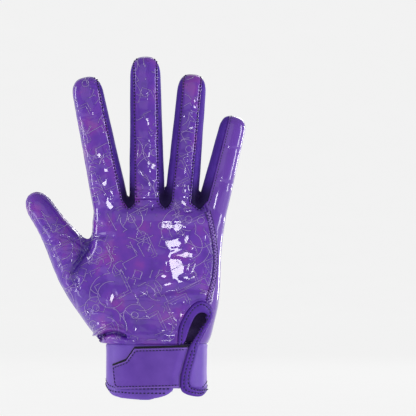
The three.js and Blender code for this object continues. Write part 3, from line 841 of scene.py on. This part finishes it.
blend = add(tree, "MixRGB", {"Color2": colour("#ac8fdc")}, {"Fac": crest_highlight, "Color1": shaded.outputs[0]})
grain = add(tree, "TexNoise", {"Scale": 1 / 0.0016, "Detail": 2.0}, {"Vector": place})
fine = add(tree, "Bump", {"Strength": 0.5, "Distance": 0.00003}, {"Height": grain.outputs[0]})
ripple = add(tree, "TexNoise", {"Scale": 1 / 0.009, "Detail": 1.0, "Roughness": 0.4}, {"Vector": place})
calm = add(tree, "Attribute", attribute_name="calm").outputs["Fac"]
lively = add(tree, "Math", {0: 1.0}, {1: calm}, operation="SUBTRACT").outputs[0]
wavy = add(tree, "Bump", {"Distance": 0.0006},
           {"Strength": lively, "Height": ripple.outputs[0], "Normal": fine.outputs[0]})
bump = add(tree, "Bump", {"Strength": 1.0, "Distance": 0.00036},
           {"Height": crest, "Normal": wavy.outputs[0]}).outputs[0]
# Painted shade: the film turns dark purple where its folds sink in.
crease_shade = tinted(tree, blend.outputs[0], "painted_shade", "#300e84")
feed(tree, shader, Base_Color=crease_shade, Normal=bump, Coat_Normal=bump)

MIDDLE = DIGITS["middle"]
STRIP_BASE = along_at(MIDDLE, CROTCH_Z)
STRIP_OUTLINE = [
    line_point(MIDDLE, share, along)
    for share, along in ((1.0, STRIP_BASE), (1.0, PAST_TIP), (-1.0, PAST_TIP), (-1.0, STRIP_BASE))]


def in_strip(points):
    return np.where(palmward(points) < 0, inside(STRIP_OUTLINE, points), -9)


# Places where the film lies flat and turned to the front, so that it flashes as one crisp patch:
# x, z, half its width and height in mm, and how far it is turned in degrees.
FACETS = [
    (-37.4, 40.4, 1.1, 1.9, 15), (-34.6, 41.5, 0.8, 1.5, 25),
    (-38.5, 162.9, 2.3, 1.9, -10), (-35.3, 178.6, 1.5, 0.8, 20), (-35.0, 144.9, 2.8, 2.8, 0),
    (-37.7, 146.1, 2.3, 0.8, 15), (-27.9, 148.5, 1.5, 0.7, 35), (-3.3, 176.0, 1.5, 0.9, 15),
    (-12.3, 164.8, 1.0, 4.4, -12), (-1.9, 155.8, 1.5, 2.8, -10), (-1.8, 155.8, 2.8, 1.2, 15),
    (-9.8, 150.8, 4.4, 0.9, -50), (-1.3, 145.9, 2.7, 0.8, -25), (25.7, 199.6, 0.9, 3.0, -20),
    (25.6, 195.6, 1.4, 1.7, 0), (18.6, 189.1, 1.3, 1.1, 0), (23.7, 181.5, 2.4, 1.1, 25),
    (14.5, 143.0, 2.3, 0.9, 35), (21.6, 141.0, 0.8, 2.4, 20), (13.7, 146.8, 1.6, 0.9, 30),
    (-34.6, 136.7, 1.1, 1.7, 0), (-31.7, 130.0, 4.2, 1.5, -42), (-31.4, 130.9, 1.6, 4.8, 8),
    (-30.8, 128.9, 3.1, 1.3, -10), (-31.7, 118.5, 1.0, 1.6, 0), (-30.5, 134.6, 0.9, 2.0, -15),
    (-8.2, 134.8, 1.3, 1.7, -15), (0.5, 137.0, 0.8, 2.1, 0), (-2.5, 129.4, 0.9, 2.4, -15),
    (18.4, 131.0, 1.5, 3.6, 35), (21.6, 125.8, 3.1, 1.1, 10), (14.2, 114.6, 2.0, 3.1, -20),
    (9.4, 104.2, 4.4, 2.4, -15), (13.1, 98.8, 5.7, 0.9, 25), (19.0, 96.5, 7.7, 1.7, 8),
    (22.8, 95.7, 3.4, 1.1, -35), (13.4, 88.4, 4.4, 5.7, 0), (15.7, 82.0, 5.4, 3.4, 0),
    (22.4, 81.7, 5.7, 1.9, 3), (8.0, 77.1, 4.4, 1.7, 20), (24.8, 87.4, 1.1, 5.0, -25),
    (21.4, 89.0, 0.9, 4.0, -30), (31.8, 85.1, 0.7, 3.4, -8), (32.8, 108.2, 0.8, 2.8, -25),
    (24.1, 101.1, 1.2, 1.1, 0), (-29.7, 67.8, 2.4, 4.3, -18), (-8.2, 71.0, 3.8, 0.9, -38),
    (-1.5, 69.7, 1.3, 1.2, 0), (18.4, 64.9, 1.3, 1.2, 0), (16.8, 56.6, 1.6, 1.2, 20),
    (-13.7, 47.1, 1.5, 1.7, 0), (-15.3, 39.5, 4.4, 0.7, 3), (-10.7, 40.8, 1.5, 0.7, 45),
    (4.4, 46.2, 2.0, 0.8, 10), (-40.5, 135.9, 0.9, 1.7, 0), (-5.7, 55.5, 2.4, 0.9, -20),
    (-64.7, 104.5, 0.9, 2.3, 25), (-52.6, 75.6, 1.1, 2.1, 30), (-45.9, 58.2, 1.1, 2.0, 35),
]
# The facets face halfway between the place that the glove is seen from and the key light, in mm.
FRONT = np.array([34.5, -4000.0, 128.0])
KEY = np.array([340.0, -1900.0, 260.0])


def flattened(points):
    """The film pressed flat at the facets, and how far each point lies in one."""
    calm = np.zeros(len(points))
    front = np.where(palmward(points) < 0)[0]
    for x, z, half_wide, half_high, turn in FACETS:
        near = front[np.hypot(points[front, 0] - x, points[front, 2] - z) < 2.0 * max(half_wide, half_high)]
        if not len(near):
            continue
        away = points[near][:, [0, 2]] - (x, z)
        middle = points[near[np.argmin(np.hypot(*away.T))]]
        ways = [(place - middle) / np.linalg.norm(place - middle) for place in (FRONT, KEY)]
        way = (ways[0] + ways[1]) / np.linalg.norm(ways[0] + ways[1])
        lean = math.radians(turn)
        along = (away[:, 0] * math.cos(lean) + away[:, 1] * math.sin(lean)) / half_wide
        up = (away[:, 1] * math.cos(lean) - away[:, 0] * math.sin(lean)) / half_high
        share = np.exp(-(0.7 * (along ** 2 + up ** 2)) ** 3)
        points[near] -= way * (((points[near] - middle) @ way) * share)[:, None]
        calm[near] = np.maximum(calm[near], share)
    return points, calm


# Broad low swells of the back of the hand: x, z, width and height in mm.
SWELLS = [(-20, 84, 16, 0.5), (-8, 112, 12, 0.3)]


def in_fingers(points):
    """Millimetres past the crotches, or out along the thumb."""
    thumb = (points - root_of(DIGITS["thumb"])) @ directions(DIGITS["thumb"])[0] - 45
    return np.maximum(points[:, 2] - CROTCH_Z, thumb)


FILM_ROW = 1.5  # from the film's edge to its stitches


def film_panel(name, node, stitches, sheet):
    """A panel of film: the cloth's slack, the sewn edge and its stitches, uneven swells and facets."""
    points, faces = sheet
    out, _ = outward(points)
    away = from_rim(points, faces)
    digital = ramp(in_fingers(points), 0, 6)
    loose = slack(points)
    lift = loose + sewn_edge(away, 0.25, 0.3)
    swell = (0.22 + 0.26 * digital) * rolling(points, 9.5, 4)
    swell = swell + (0.05 + 0.06 * digital) * rolling(points, 5, 8)
    lift = lift + swell * ramp(away, 1.5, 4)
    for x, z, wide, height in SWELLS:
        spread = ((points[:, 0] - x) ** 2 + (points[:, 2] - z) ** 2) / wide ** 2
        lift += height * np.exp(-spread) * ramp(-points[:, 1], 1, 6)
    points, calm = flattened(points + out * lift[:, None])
    # Painted shade: a share that darkens the film where the slack sinks into folds.
    shares = {"pressed": ramp(away, 2.4, 3.0), "calm": calm, "painted_shade": 0.75 * ramp(-loose, 0.5, 3.0)}
    thick(made(name, points, faces, [film, lining], node, "embossed_film", shares), PANEL_WALL, 0.2)
    sewn(stitches, level_lines(points, faces, away, FILM_ROW), beside_gussets, "embossed_film",
         pitch=2.1, length=1.4, radius=0.44)


fine_sheet = skin_sheet(0.6)
fine_back = trimmed(fine_sheet, lambda p: -palm_side(p))
sewn_back = trimmed(fine_back, clear_of_gussets, clear_of_binding, above_cuff)
film_panel("back_film_cloth", "back_panel", "back_stitches", trimmed(sewn_back, lambda p: -in_strip(p)))

# The flat seam between the back and the outer edge of the hand: two needle rows a band apart and
# a thick zigzag thread that lies across them.
LADDER_HALF = 1.35
LADDER_PITCH = 1.15
zigzag = twisted("zigzag_thread", 0.5, 0.0007, [(0.35, "#7f56c0"), (0.65, "#ab8adc")])
chains = [chain[(chain[:, 1] < 1) & (chain[:, 2] > 65) & (chain[:, 2] < 126)]
          for chain in level_lines(*fine_sheet, ulnar(fine_sheet[0]), 0.0)]
spots, ways = spaced(softened(max(chains, key=len), 40), LADDER_PITCH)
outs, _ = outward(spots)
sides = np.cross(ways, outs)
sides /= np.linalg.norm(sides, axis=1, keepdims=True)
loose = slack(spots)[:, None]
corners = spots + np.where(np.arange(len(spots)) % 2, 1, -1)[:, None] * LADDER_HALF * sides
run = corners[1:] - corners[:-1]
lengths = np.linalg.norm(run, axis=1, keepdims=True)
middles = (corners[1:] + corners[:-1]) / 2 + outs[1:] * (0.3 + loose[1:])
made("seam_zigzag", *threads(middles, run / lengths, outs[1:], float(lengths.mean()) * 0.98, 0.36), [zigzag],
     slot="palm_silicone")
for side, name in ((-1, "seam_row_back"), (1, "seam_row_palm")):
    row = spots + side * (LADDER_HALF + 0.25) * sides + outs * (loose + 0.2)
    made(name, *threads(row, ways, outs, 0.75, 0.34), [thread], slot="palm_silicone")

# Middle finger strip
# The same pressed film on the back of the middle finger, cut from the back's sheet and sewn to
# the back panel across its base.
film_panel("middle_strip_film", "middle_back_strip", "strip_stitches", trimmed(sewn_back, in_strip))

# Gussets
# Ribbed stretch knit between the fingers, a U-shaped strip from tip to tip for each gap. It is purple along
# the fingers, with painted shade that turns it near black towards the crotches.
knit_cloth, tree, shader, place = finish_of(
    "ribbed_knit", Roughness=0.7, Specular_IOR_Level=0.2, Sheen_Weight=0.25, Sheen_Roughness=0.4,
    Sheen_Tint=colour("#9a7ad6"))
purple = dyed(tree, place, 0.008, 3.0, [(0.3, "#4c2a9a"), (0.7, "#5934a8")])
ridges = {"Scale": 0.5 / 0.0011, "Distortion": 0.6}  # ribs about 0.7 mm apart
ribs = add(tree, "TexWave", ridges, {"Vector": place}, bands_direction="Y")
bump = add(tree, "Bump", {"Strength": 0.5, "Distance": 0.00012}, {"Height": ribs.outputs[0]})
# Painted shade: the dye turns near black by the share that the piece carries.
feed(tree, shader, Base_Color=tinted(tree, purple, "painted_shade", "#160838"), Normal=bump.outputs[0])

for name in GUSSETS:
    points, faces = trimmed(smooth_sheet, lambda p: in_gusset(name, p))
    out, _ = outward(points)
    away = from_rim(points, faces)
    lift = slack(points) - 0.5 * np.exp(-((away / 0.9) ** 2)) + 0.12 * rolling(points, 9)
    # Painted shade: full at the crotch and gone 17 mm above it.
    crotch_shade = {"painted_shade": 0.95 * (1 - ramp(points[:, 2], CROTCH_Z + 1, CROTCH_Z + 17))}
    piece = made(name.replace("gusset", "knit"), points + out * lift[:, None], faces, [knit_cloth, lining],
                 name, "gusset_knit", crotch_shade)
    thick(piece, PANEL_WALL, 0.5)

# Cuff
# Neoprene faced with satin stretch cloth, a plain band round the wrist with a double-stitched hem.
# It is open at the slit on the back.
CUFF_WALL = 2.2
OPENING = [
    (1.08, -0.06), (0.8, -0.04), (0.69, 0.02), (0.6, 0.073), (0.5, 0.15), (0.473, 0.227), (0.482, 0.435),
    (0.556, 0.678), (0.642, 0.951), (0.873, 1.243), (1.024, 1.438), (1.012, 1.535), (0.908, 1.584),
    (0.805, 1.546), (0.731, 1.454), (0.636, 1.243), (0.556, 1.003), (0.432, 0.985), (0.367, 0.676),
    (0.35, 0.324), (0.345, 0.19), (0.305, 0.148), (0.215, 0.078), (0.112, 0.026), (0.0, -0.02),
]
OPENING_LINE = rounded(placed(OPENING))
OPENING_OUTLINE = [*OPENING_LINE, (OPENING_LINE[-1][0], -SEAM_Z), (OPENING_LINE[0][0], -SEAM_Z)]
# Heights of the hem on the back and on the palm, and of the lower row of stitches on the back:
# share of half the cuff's width, and share of its height.
BACK_HEM = [
    (-1.1, 0.26), (-1.0, 0.21), (-0.96, 0.14), (-0.9, 0.08), (-0.7, 0.03), (-0.3, 0), (0.3, 0), (0.7, 0.035),
    (0.88, 0.045), (0.95, 0.08), (1.0, 0.165), (1.1, 0.17),
]
PALM_HEM = [
    (-1.1, 0.26), (-1.0, 0.21), (-0.85, 0.185), (-0.4, 0.17), (0.4, 0.17), (1.0, 0.165), (1.1, 0.17)]
BACK_ROW = [
    (-1.1, 0.3), (-1.0, 0.29), (-0.985, 0.22), (-0.95, 0.178), (-0.85, 0.146), (-0.5, 0.122), (0.5, 0.119),
    (0.88, 0.127), (0.96, 0.165), (1.0, 0.25), (1.1, 0.25),
]
PALM_ROW_UP = 0.085  # share of the cuff's height from the palm's hem up to that row
ROW_GAP = 2.9
hems = [eased(rows, 0.025)[0] for rows in (BACK_HEM, PALM_HEM, BACK_ROW)]


def hem_height(points):
    back, palm, _ = (hem(points[:, 0] / HALF_CUFF) for hem in hems)
    return points[:, 2] - (back + (palm - back) * ramp(points[:, 1], -3, 3)) * SEAM_Z


def row_height(points):
    """Height above the lower of the hem's two rows of stitches."""
    _, palm, back = (hem(points[:, 0] / HALF_CUFF) for hem in hems)
    return points[:, 2] - (back + (palm + PALM_ROW_UP - back) * ramp(points[:, 1], -3, 3)) * SEAM_Z


def in_opening(points):
    return np.where(points[:, 1] < 0, inside(OPENING_OUTLINE, points), -9)


def edge_room(points):
    """Room to the slit's opening and to the hem, rounded where the two meet."""
    return joined(hem_height(points), -in_opening(points), 6.0)


def on_wrist(turns, heights):
    """Points of the wrist's form at these angles (in radians from -Y to +X) and heights.

    Each is found by steps along its angle, from 30 mm out.
    """
    level = np.column_stack([np.zeros((len(turns), 2)), heights])
    way = np.column_stack([np.sin(turns), -np.cos(turns), np.zeros(len(turns))])
    reach = np.full(len(turns), 30.0)
    for _ in range(30):
        reach -= trunk_skin(way * reach[:, None] + level)
    return way * reach[:, None] + level


def wrist_sheet(first, last, low, high, step):
    """A sheet of triangles on the wrist's form between two angles (in degrees) and heights."""
    angles = np.radians(np.linspace(first, last, 2000))
    run = run_along(on_wrist(angles, np.full(len(angles), 20.0)))
    turns = np.interp(np.linspace(0, run[-1], int(run[-1] / step) + 1), run, angles)
    heights = np.linspace(low, high, int((high - low) / step) + 1)
    turn, height = np.meshgrid(turns, heights, indexing="ij")
    index = np.arange(turn.size).reshape(turn.shape)
    if last - first > 359:
        index[-1] = index[0]
    a, b, c, d = (part.ravel() for part in (index[:-1, :-1], index[1:, :-1], index[1:, 1:], index[:-1, 1:]))
    faces = np.vstack([np.stack([a, b, c], 1), np.stack([a, c, d], 1)])
    return tidied(on_wrist(turn.ravel(), height.ravel()), faces)


def satin(name, stops, patch, weave, strength, relief, tints=(), **values):
    """Cloth with a satin face: a broad soft sheen over a fine weave. Sizes are in metres."""
    material, tree, shader, place = finish_of(
        name, Sheen_Roughness=0.35, Sheen_Tint=colour("#c9b4ea"), IOR=1.45, **values)
    dye = dyed(tree, place, patch, 4.0, stops)
    for share, code in tints:
        dye = tinted(tree, dye, share, code)
    cells = add(tree, "TexVoronoi", {"Scale": 1 / weave}, {"Vector": place}).outputs[0]
    bump = add(tree, "Bump", {"Strength": strength, "Distance": relief}, {"Height": cells})
    feed(tree, shader, Base_Color=dye, Normal=bump.outputs[0])
    return material


# Satin-faced neoprene: a soft broad sheen that is brightest where the band turns away.
neoprene = satin(
    "satin_neoprene", [(0.3, "#6540b2"), (0.7, "#744cc2")], 0.012, 0.0007, 0.35, 0.00005,
    Roughness=0.45, Specular_IOR_Level=0.5, Sheen_Weight=0.9)

points, faces = trimmed(
    wrist_sheet(-180, 180, -2, SEAM_Z + 0.5, 0.7), edge_room, clear_of_binding, lambda p: -above_cuff(p))
out, _ = outward(points, trunk_skin)
up = hem_height(points)
row = row_height(points)
away = from_rim(points, faces)
# The band rolls under at its rim, swells softly, is doubled up to the rows and dips at each row.
lift = -0.9 * np.exp(-((away / 0.6) ** 2)) + 0.2 * rolling(points, 16, 2) * ramp(up, 8, 16)
lift += 0.25 * ramp(up, 0.5, 1.5) * (1 - ramp(row, 0.2, 0.9))
for above in (0, ROW_GAP):
    lift -= 0.35 * np.exp(-(((row - above) / 0.5) ** 2))
cuff = (points + out * lift[:, None], faces)
thick(made("neoprene_cuff", *cuff, [neoprene, lining], "cuff", "cuff_neoprene"), CUFF_WALL, 0.5)


def clear_of_slit(points):
    return np.minimum(-1 - in_binding(points), -1.4 - in_opening(points))


for name, above in (("hem_row_low", 0), ("hem_row_high", ROW_GAP)):
    sewn(name, level_lines(*cuff, row, above), clear_of_slit, "cuff_neoprene", pitch=2.6, length=1.7,
         radius=0.42, form=trunk_skin)

# Slit binding
# Satin tape folded over the raw edge, round the slit's hole and down the edge of the right flap,
# and held by a row of stitches near its outer edge. The flap's side has a second row.
tape = satin(
    "satin_tape", [(0.3, "#4e289a"), (0.7, "#5c2fa8")], 0.009, 0.0006, 0.35, 0.00004,
    Roughness=0.42, Specular_IOR_Level=0.3, Sheen_Weight=0.25)

BINDING_WALL = 1.9
FLAP_ROW = 2.1  # from the flap's edge to its stitches
points, faces = trimmed(wrist_sheet(15, 92, -2, 72, 0.5), in_binding, edge_room)
out, _ = outward(points, trunk_skin)
outer = inside(BINDING_OUTLINE, points)
inner = edge_room(points)
away = from_rim(points, faces)
flap = ramp(36 - points[:, 2], 0, 6)
row_in = 2.0 - 1.15 * flap
# The tape rolls under at its edges, and a soft bead stands beside each of its rows.
lift = 0.9 + slack(points) - 1.1 * np.exp(-((away / 0.55) ** 2))
lift += 0.28 * (1 - flap) * np.exp(-(((outer - 1.0) / 0.42) ** 2))
lift += 0.3 * flap * np.exp(-(((inner - 3.6) / 0.6) ** 2))
lift -= 0.35 * np.exp(-(((outer - row_in) / 0.4) ** 2))
lift -= 0.3 * flap * np.exp(-(((inner - FLAP_ROW) / 0.4) ** 2))
binding = (points + out * lift[:, None], faces)
thick(made("satin_binding", *binding, [tape, tape], "slit_binding", "binding_cloth"), BINDING_WALL, 1)
for name, lines, room in (
    ("binding_row", level_lines(*binding, outer - row_in, 0.0),
     lambda p: np.minimum(p[:, 2] - 4, 40 + 6 * (32 - p[:, 0]))),
    ("flap_row", level_lines(*binding, inner, FLAP_ROW),
     lambda p: np.min([33 - p[:, 2], p[:, 0] - 15, 32 - p[:, 0]], axis=0)),
):
    sewn(name, lines, room, "binding_cloth", pitch=2.4, length=1.55, radius=0.42, form=trunk_skin)

# Strap
# A flat tab of satin-faced neoprene that closes the wrist, stitched round its edge. It comes out
# from under the right flap and sticks to the left one by the hook tape on its back.
STRAP_END = [(-0.417, 0.922), (-0.58, 0.703), (-0.843, 0.605), (-0.808, 0.259), (-0.754, 0.195)]
FLAP_EDGE = placed(OPENING[5:9])
STRAP_OUTLINE = [*placed(STRAP_END), *FLAP_EDGE]
STRAP_ROW = 1.5  # from the strap's edge to its stitches
STRAP_WALL = 1.3
# The strap's dye carries a painted shadow, near black along its end under the flap, and a painted sheen,
# paler along its rolled edge.
strap_cloth = satin(
    "satin_strap", [(0.3, "#613ba8"), (0.7, "#6d46b4")], 0.01, 0.0006, 0.3, 0.00004,
    [("painted_shade", "#150732"), ("rolled", "#9470cf")], Roughness=0.45, Specular_IOR_Level=0.3, Sheen_Weight=0.2)


def flap_edge(points):
    return np.interp(points[:, 2], [z for _, z in FLAP_EDGE], [x for x, _ in FLAP_EDGE])


def strap_raise(points):
    """Height of the strap over the wrist: it dives under the right flap along its end there."""
    return 0.3 + 2.0 * ramp(flap_edge(points) - points[:, 0], 0.2, 7)


points, faces = trimmed(wrist_sheet(-75, 50, 4, 38, 0.4), lambda p: inside(STRAP_OUTLINE, p))
out, _ = outward(points, trunk_skin)
away = from_rim(points, faces)
# A rounded edge, a raised bead along it, the dip of the stitches and a faint swell.
edge = np.clip(1 - away / 0.7, 0, 1)
lift = strap_raise(points) - 0.9 * (1 - np.sqrt(1 - edge ** 2))
lift += 0.22 * np.exp(-(((away - 0.75) / 0.3) ** 2)) - 0.36 * np.exp(-(((away - STRAP_ROW) / 0.32) ** 2))
lift += 0.08 * rolling(points, 12, 6)
strap = (points + out * lift[:, None], faces)
# Painted shadow of the flap's edge on the strap's end, and a painted sheen along the rest of the strap's
# edge.
flap_shadow = 1 - ramp(flap_edge(points) - points[:, 0], 0.3, 1.3)
edge_sheen = 0.55 * (1 - flap_shadow) * np.exp(-(((away - 0.55) / 0.4) ** 2))
shaded = {"painted_shade": 0.9 * flap_shadow, "rolled": edge_sheen}
piece = made("closing_strap", *strap, [strap_cloth, strap_cloth], "strap", "strap_cloth", shaded)
thick(piece, STRAP_WALL, 1)
sewn("strap_row", level_lines(*strap, away, STRAP_ROW), lambda p: flap_edge(p) - 2.6 - p[:, 0],
     "strap_cloth", pitch=2.2, length=1.5, radius=0.4, form=trunk_skin)

# Woven hook tape sewn to the strap's back, near black. It is set 1.45 mm higher than the strap, so that its
# edge shows above the strap's top as a thin dark line: a painted shadow.
hook_tape = looped("woven_hook_tape", 0.85, 0.0009, [(0.1, "#080312"), (0.8, "#130a28")])
TAPE_WALL = 0.8
# Moved up so that the tape's dark edge stands in as painted shadow along the strap's top.
TAPE_SHIFT = (-0.1, 1.45)
tape_outline = [(x + TAPE_SHIFT[0], z + TAPE_SHIFT[1]) for x, z in STRAP_OUTLINE]
points, faces = trimmed(wrist_sheet(-75, 50, 4, 38, 0.6), lambda p: inside(tape_outline, p))
out, _ = outward(points, trunk_skin)
points = points + out * (strap_raise(points) - 1.2)[:, None]
thick(made("hook_tape", points, faces, [hook_tape, hook_tape], slot="strap_cloth"), TAPE_WALL, 1)

# Studio
# A pale sweep of translucent paper, lit evenly from behind, and soft boxes round the glove.
paper, tree, shader, _ = finish_of(
    "studio_paper", Roughness=0.9, Specular_IOR_Level=0.0, Emission_Color=colour("#f4f4f4"),
    Emission_Strength=0.93)
fibres = add(tree, "TexNoise", {"Scale": 1 / 0.004, "Detail": 2.0}).outputs[0]
pulp = add(tree, "ValToRGB", links={"Fac": fibres}, stops=[(0.3, "#505050"), (0.7, "#545454")])
feed(tree, shader, Base_Color=pulp.outputs[0])
FLOOR_Z = -28.0
WALL_Y = 5200.0
WALL_TOP = 6000.0
BEND = 900.0  # radius of the curve from the floor to the wall
sweep = [(-WALL_Y, FLOOR_Z), (WALL_Y - BEND, FLOOR_Z)]
for turn in np.linspace(0.1, math.pi / 2, 12):
    sweep.append((WALL_Y - BEND * (1 - math.sin(turn)), FLOOR_Z + BEND * (1 - math.cos(turn))))
sweep += [(WALL_Y, WALL_TOP)]
sweep_points = np.array([(x, y, z) for y, z in sweep for x in (-WALL_Y, WALL_Y)])
index = np.arange(len(sweep_points)).reshape(-1, 2)
sweep_faces = np.stack([index[:-1, 0], index[:-1, 1], index[1:, 1], index[1:, 0]], axis=1)
mesh = bpy.data.meshes.new("studio_sweep")
mesh.from_pydata((sweep_points / 1000).tolist(), [], sweep_faces.tolist())
mesh.polygons.foreach_set("use_smooth", [True] * len(mesh.polygons))
mesh.materials.append(paper)
floor = bpy.data.objects.new("studio_sweep", mesh)
bpy.context.scene.collection.objects.link(floor)

# Each box: where it stands, its width and height in metres, and its power in watts.
BOXES = {
    "key_box": ((0.34, -1.9, 0.26), (0.22, 0.22), 2.5),
    "broad_box": ((-0.7, -2.4, 1.7), (2.8, 2.0), 9),
    "left_box": ((-1.4, 0.1, 0.3), (0.25, 1.2), 7),
    "right_box": ((1.35, -0.25, 0.25), (0.3, 1.2), 10),
    "back_box": ((0.5, 1.9, 0.9), (0.5, 0.7), 7),
    "rim_box": ((1.1, 1.0, 0.12), (0.12, 0.6), 5),
    "low_box": ((-0.3, -0.12, 0.0), (0.08, 0.16), 0.12),
}
for name, (stand, size, power) in BOXES.items():
    box = bpy.data.lights.new(name, "AREA")
    box.shape, box.size, box.size_y, box.energy = "RECTANGLE", *size, power
    lamp = bpy.data.objects.new(name, box)
    lamp.location = stand
    lamp.rotation_euler = (Vector((-0.01, 0, 0.11)) - Vector(stand)).to_track_quat("-Z", "Y").to_euler()
    bpy.context.scene.collection.objects.link(lamp)

world = bpy.data.worlds.new("studio")
world.use_nodes = True
world.node_tree.nodes["Background"].inputs["Color"].default_value = (1, 1, 1, 1)
world.node_tree.nodes["Background"].inputs["Strength"].default_value = 0.37
bpy.context.scene.world = world
bpy.context.scene.view_settings.view_transform = "Standard"
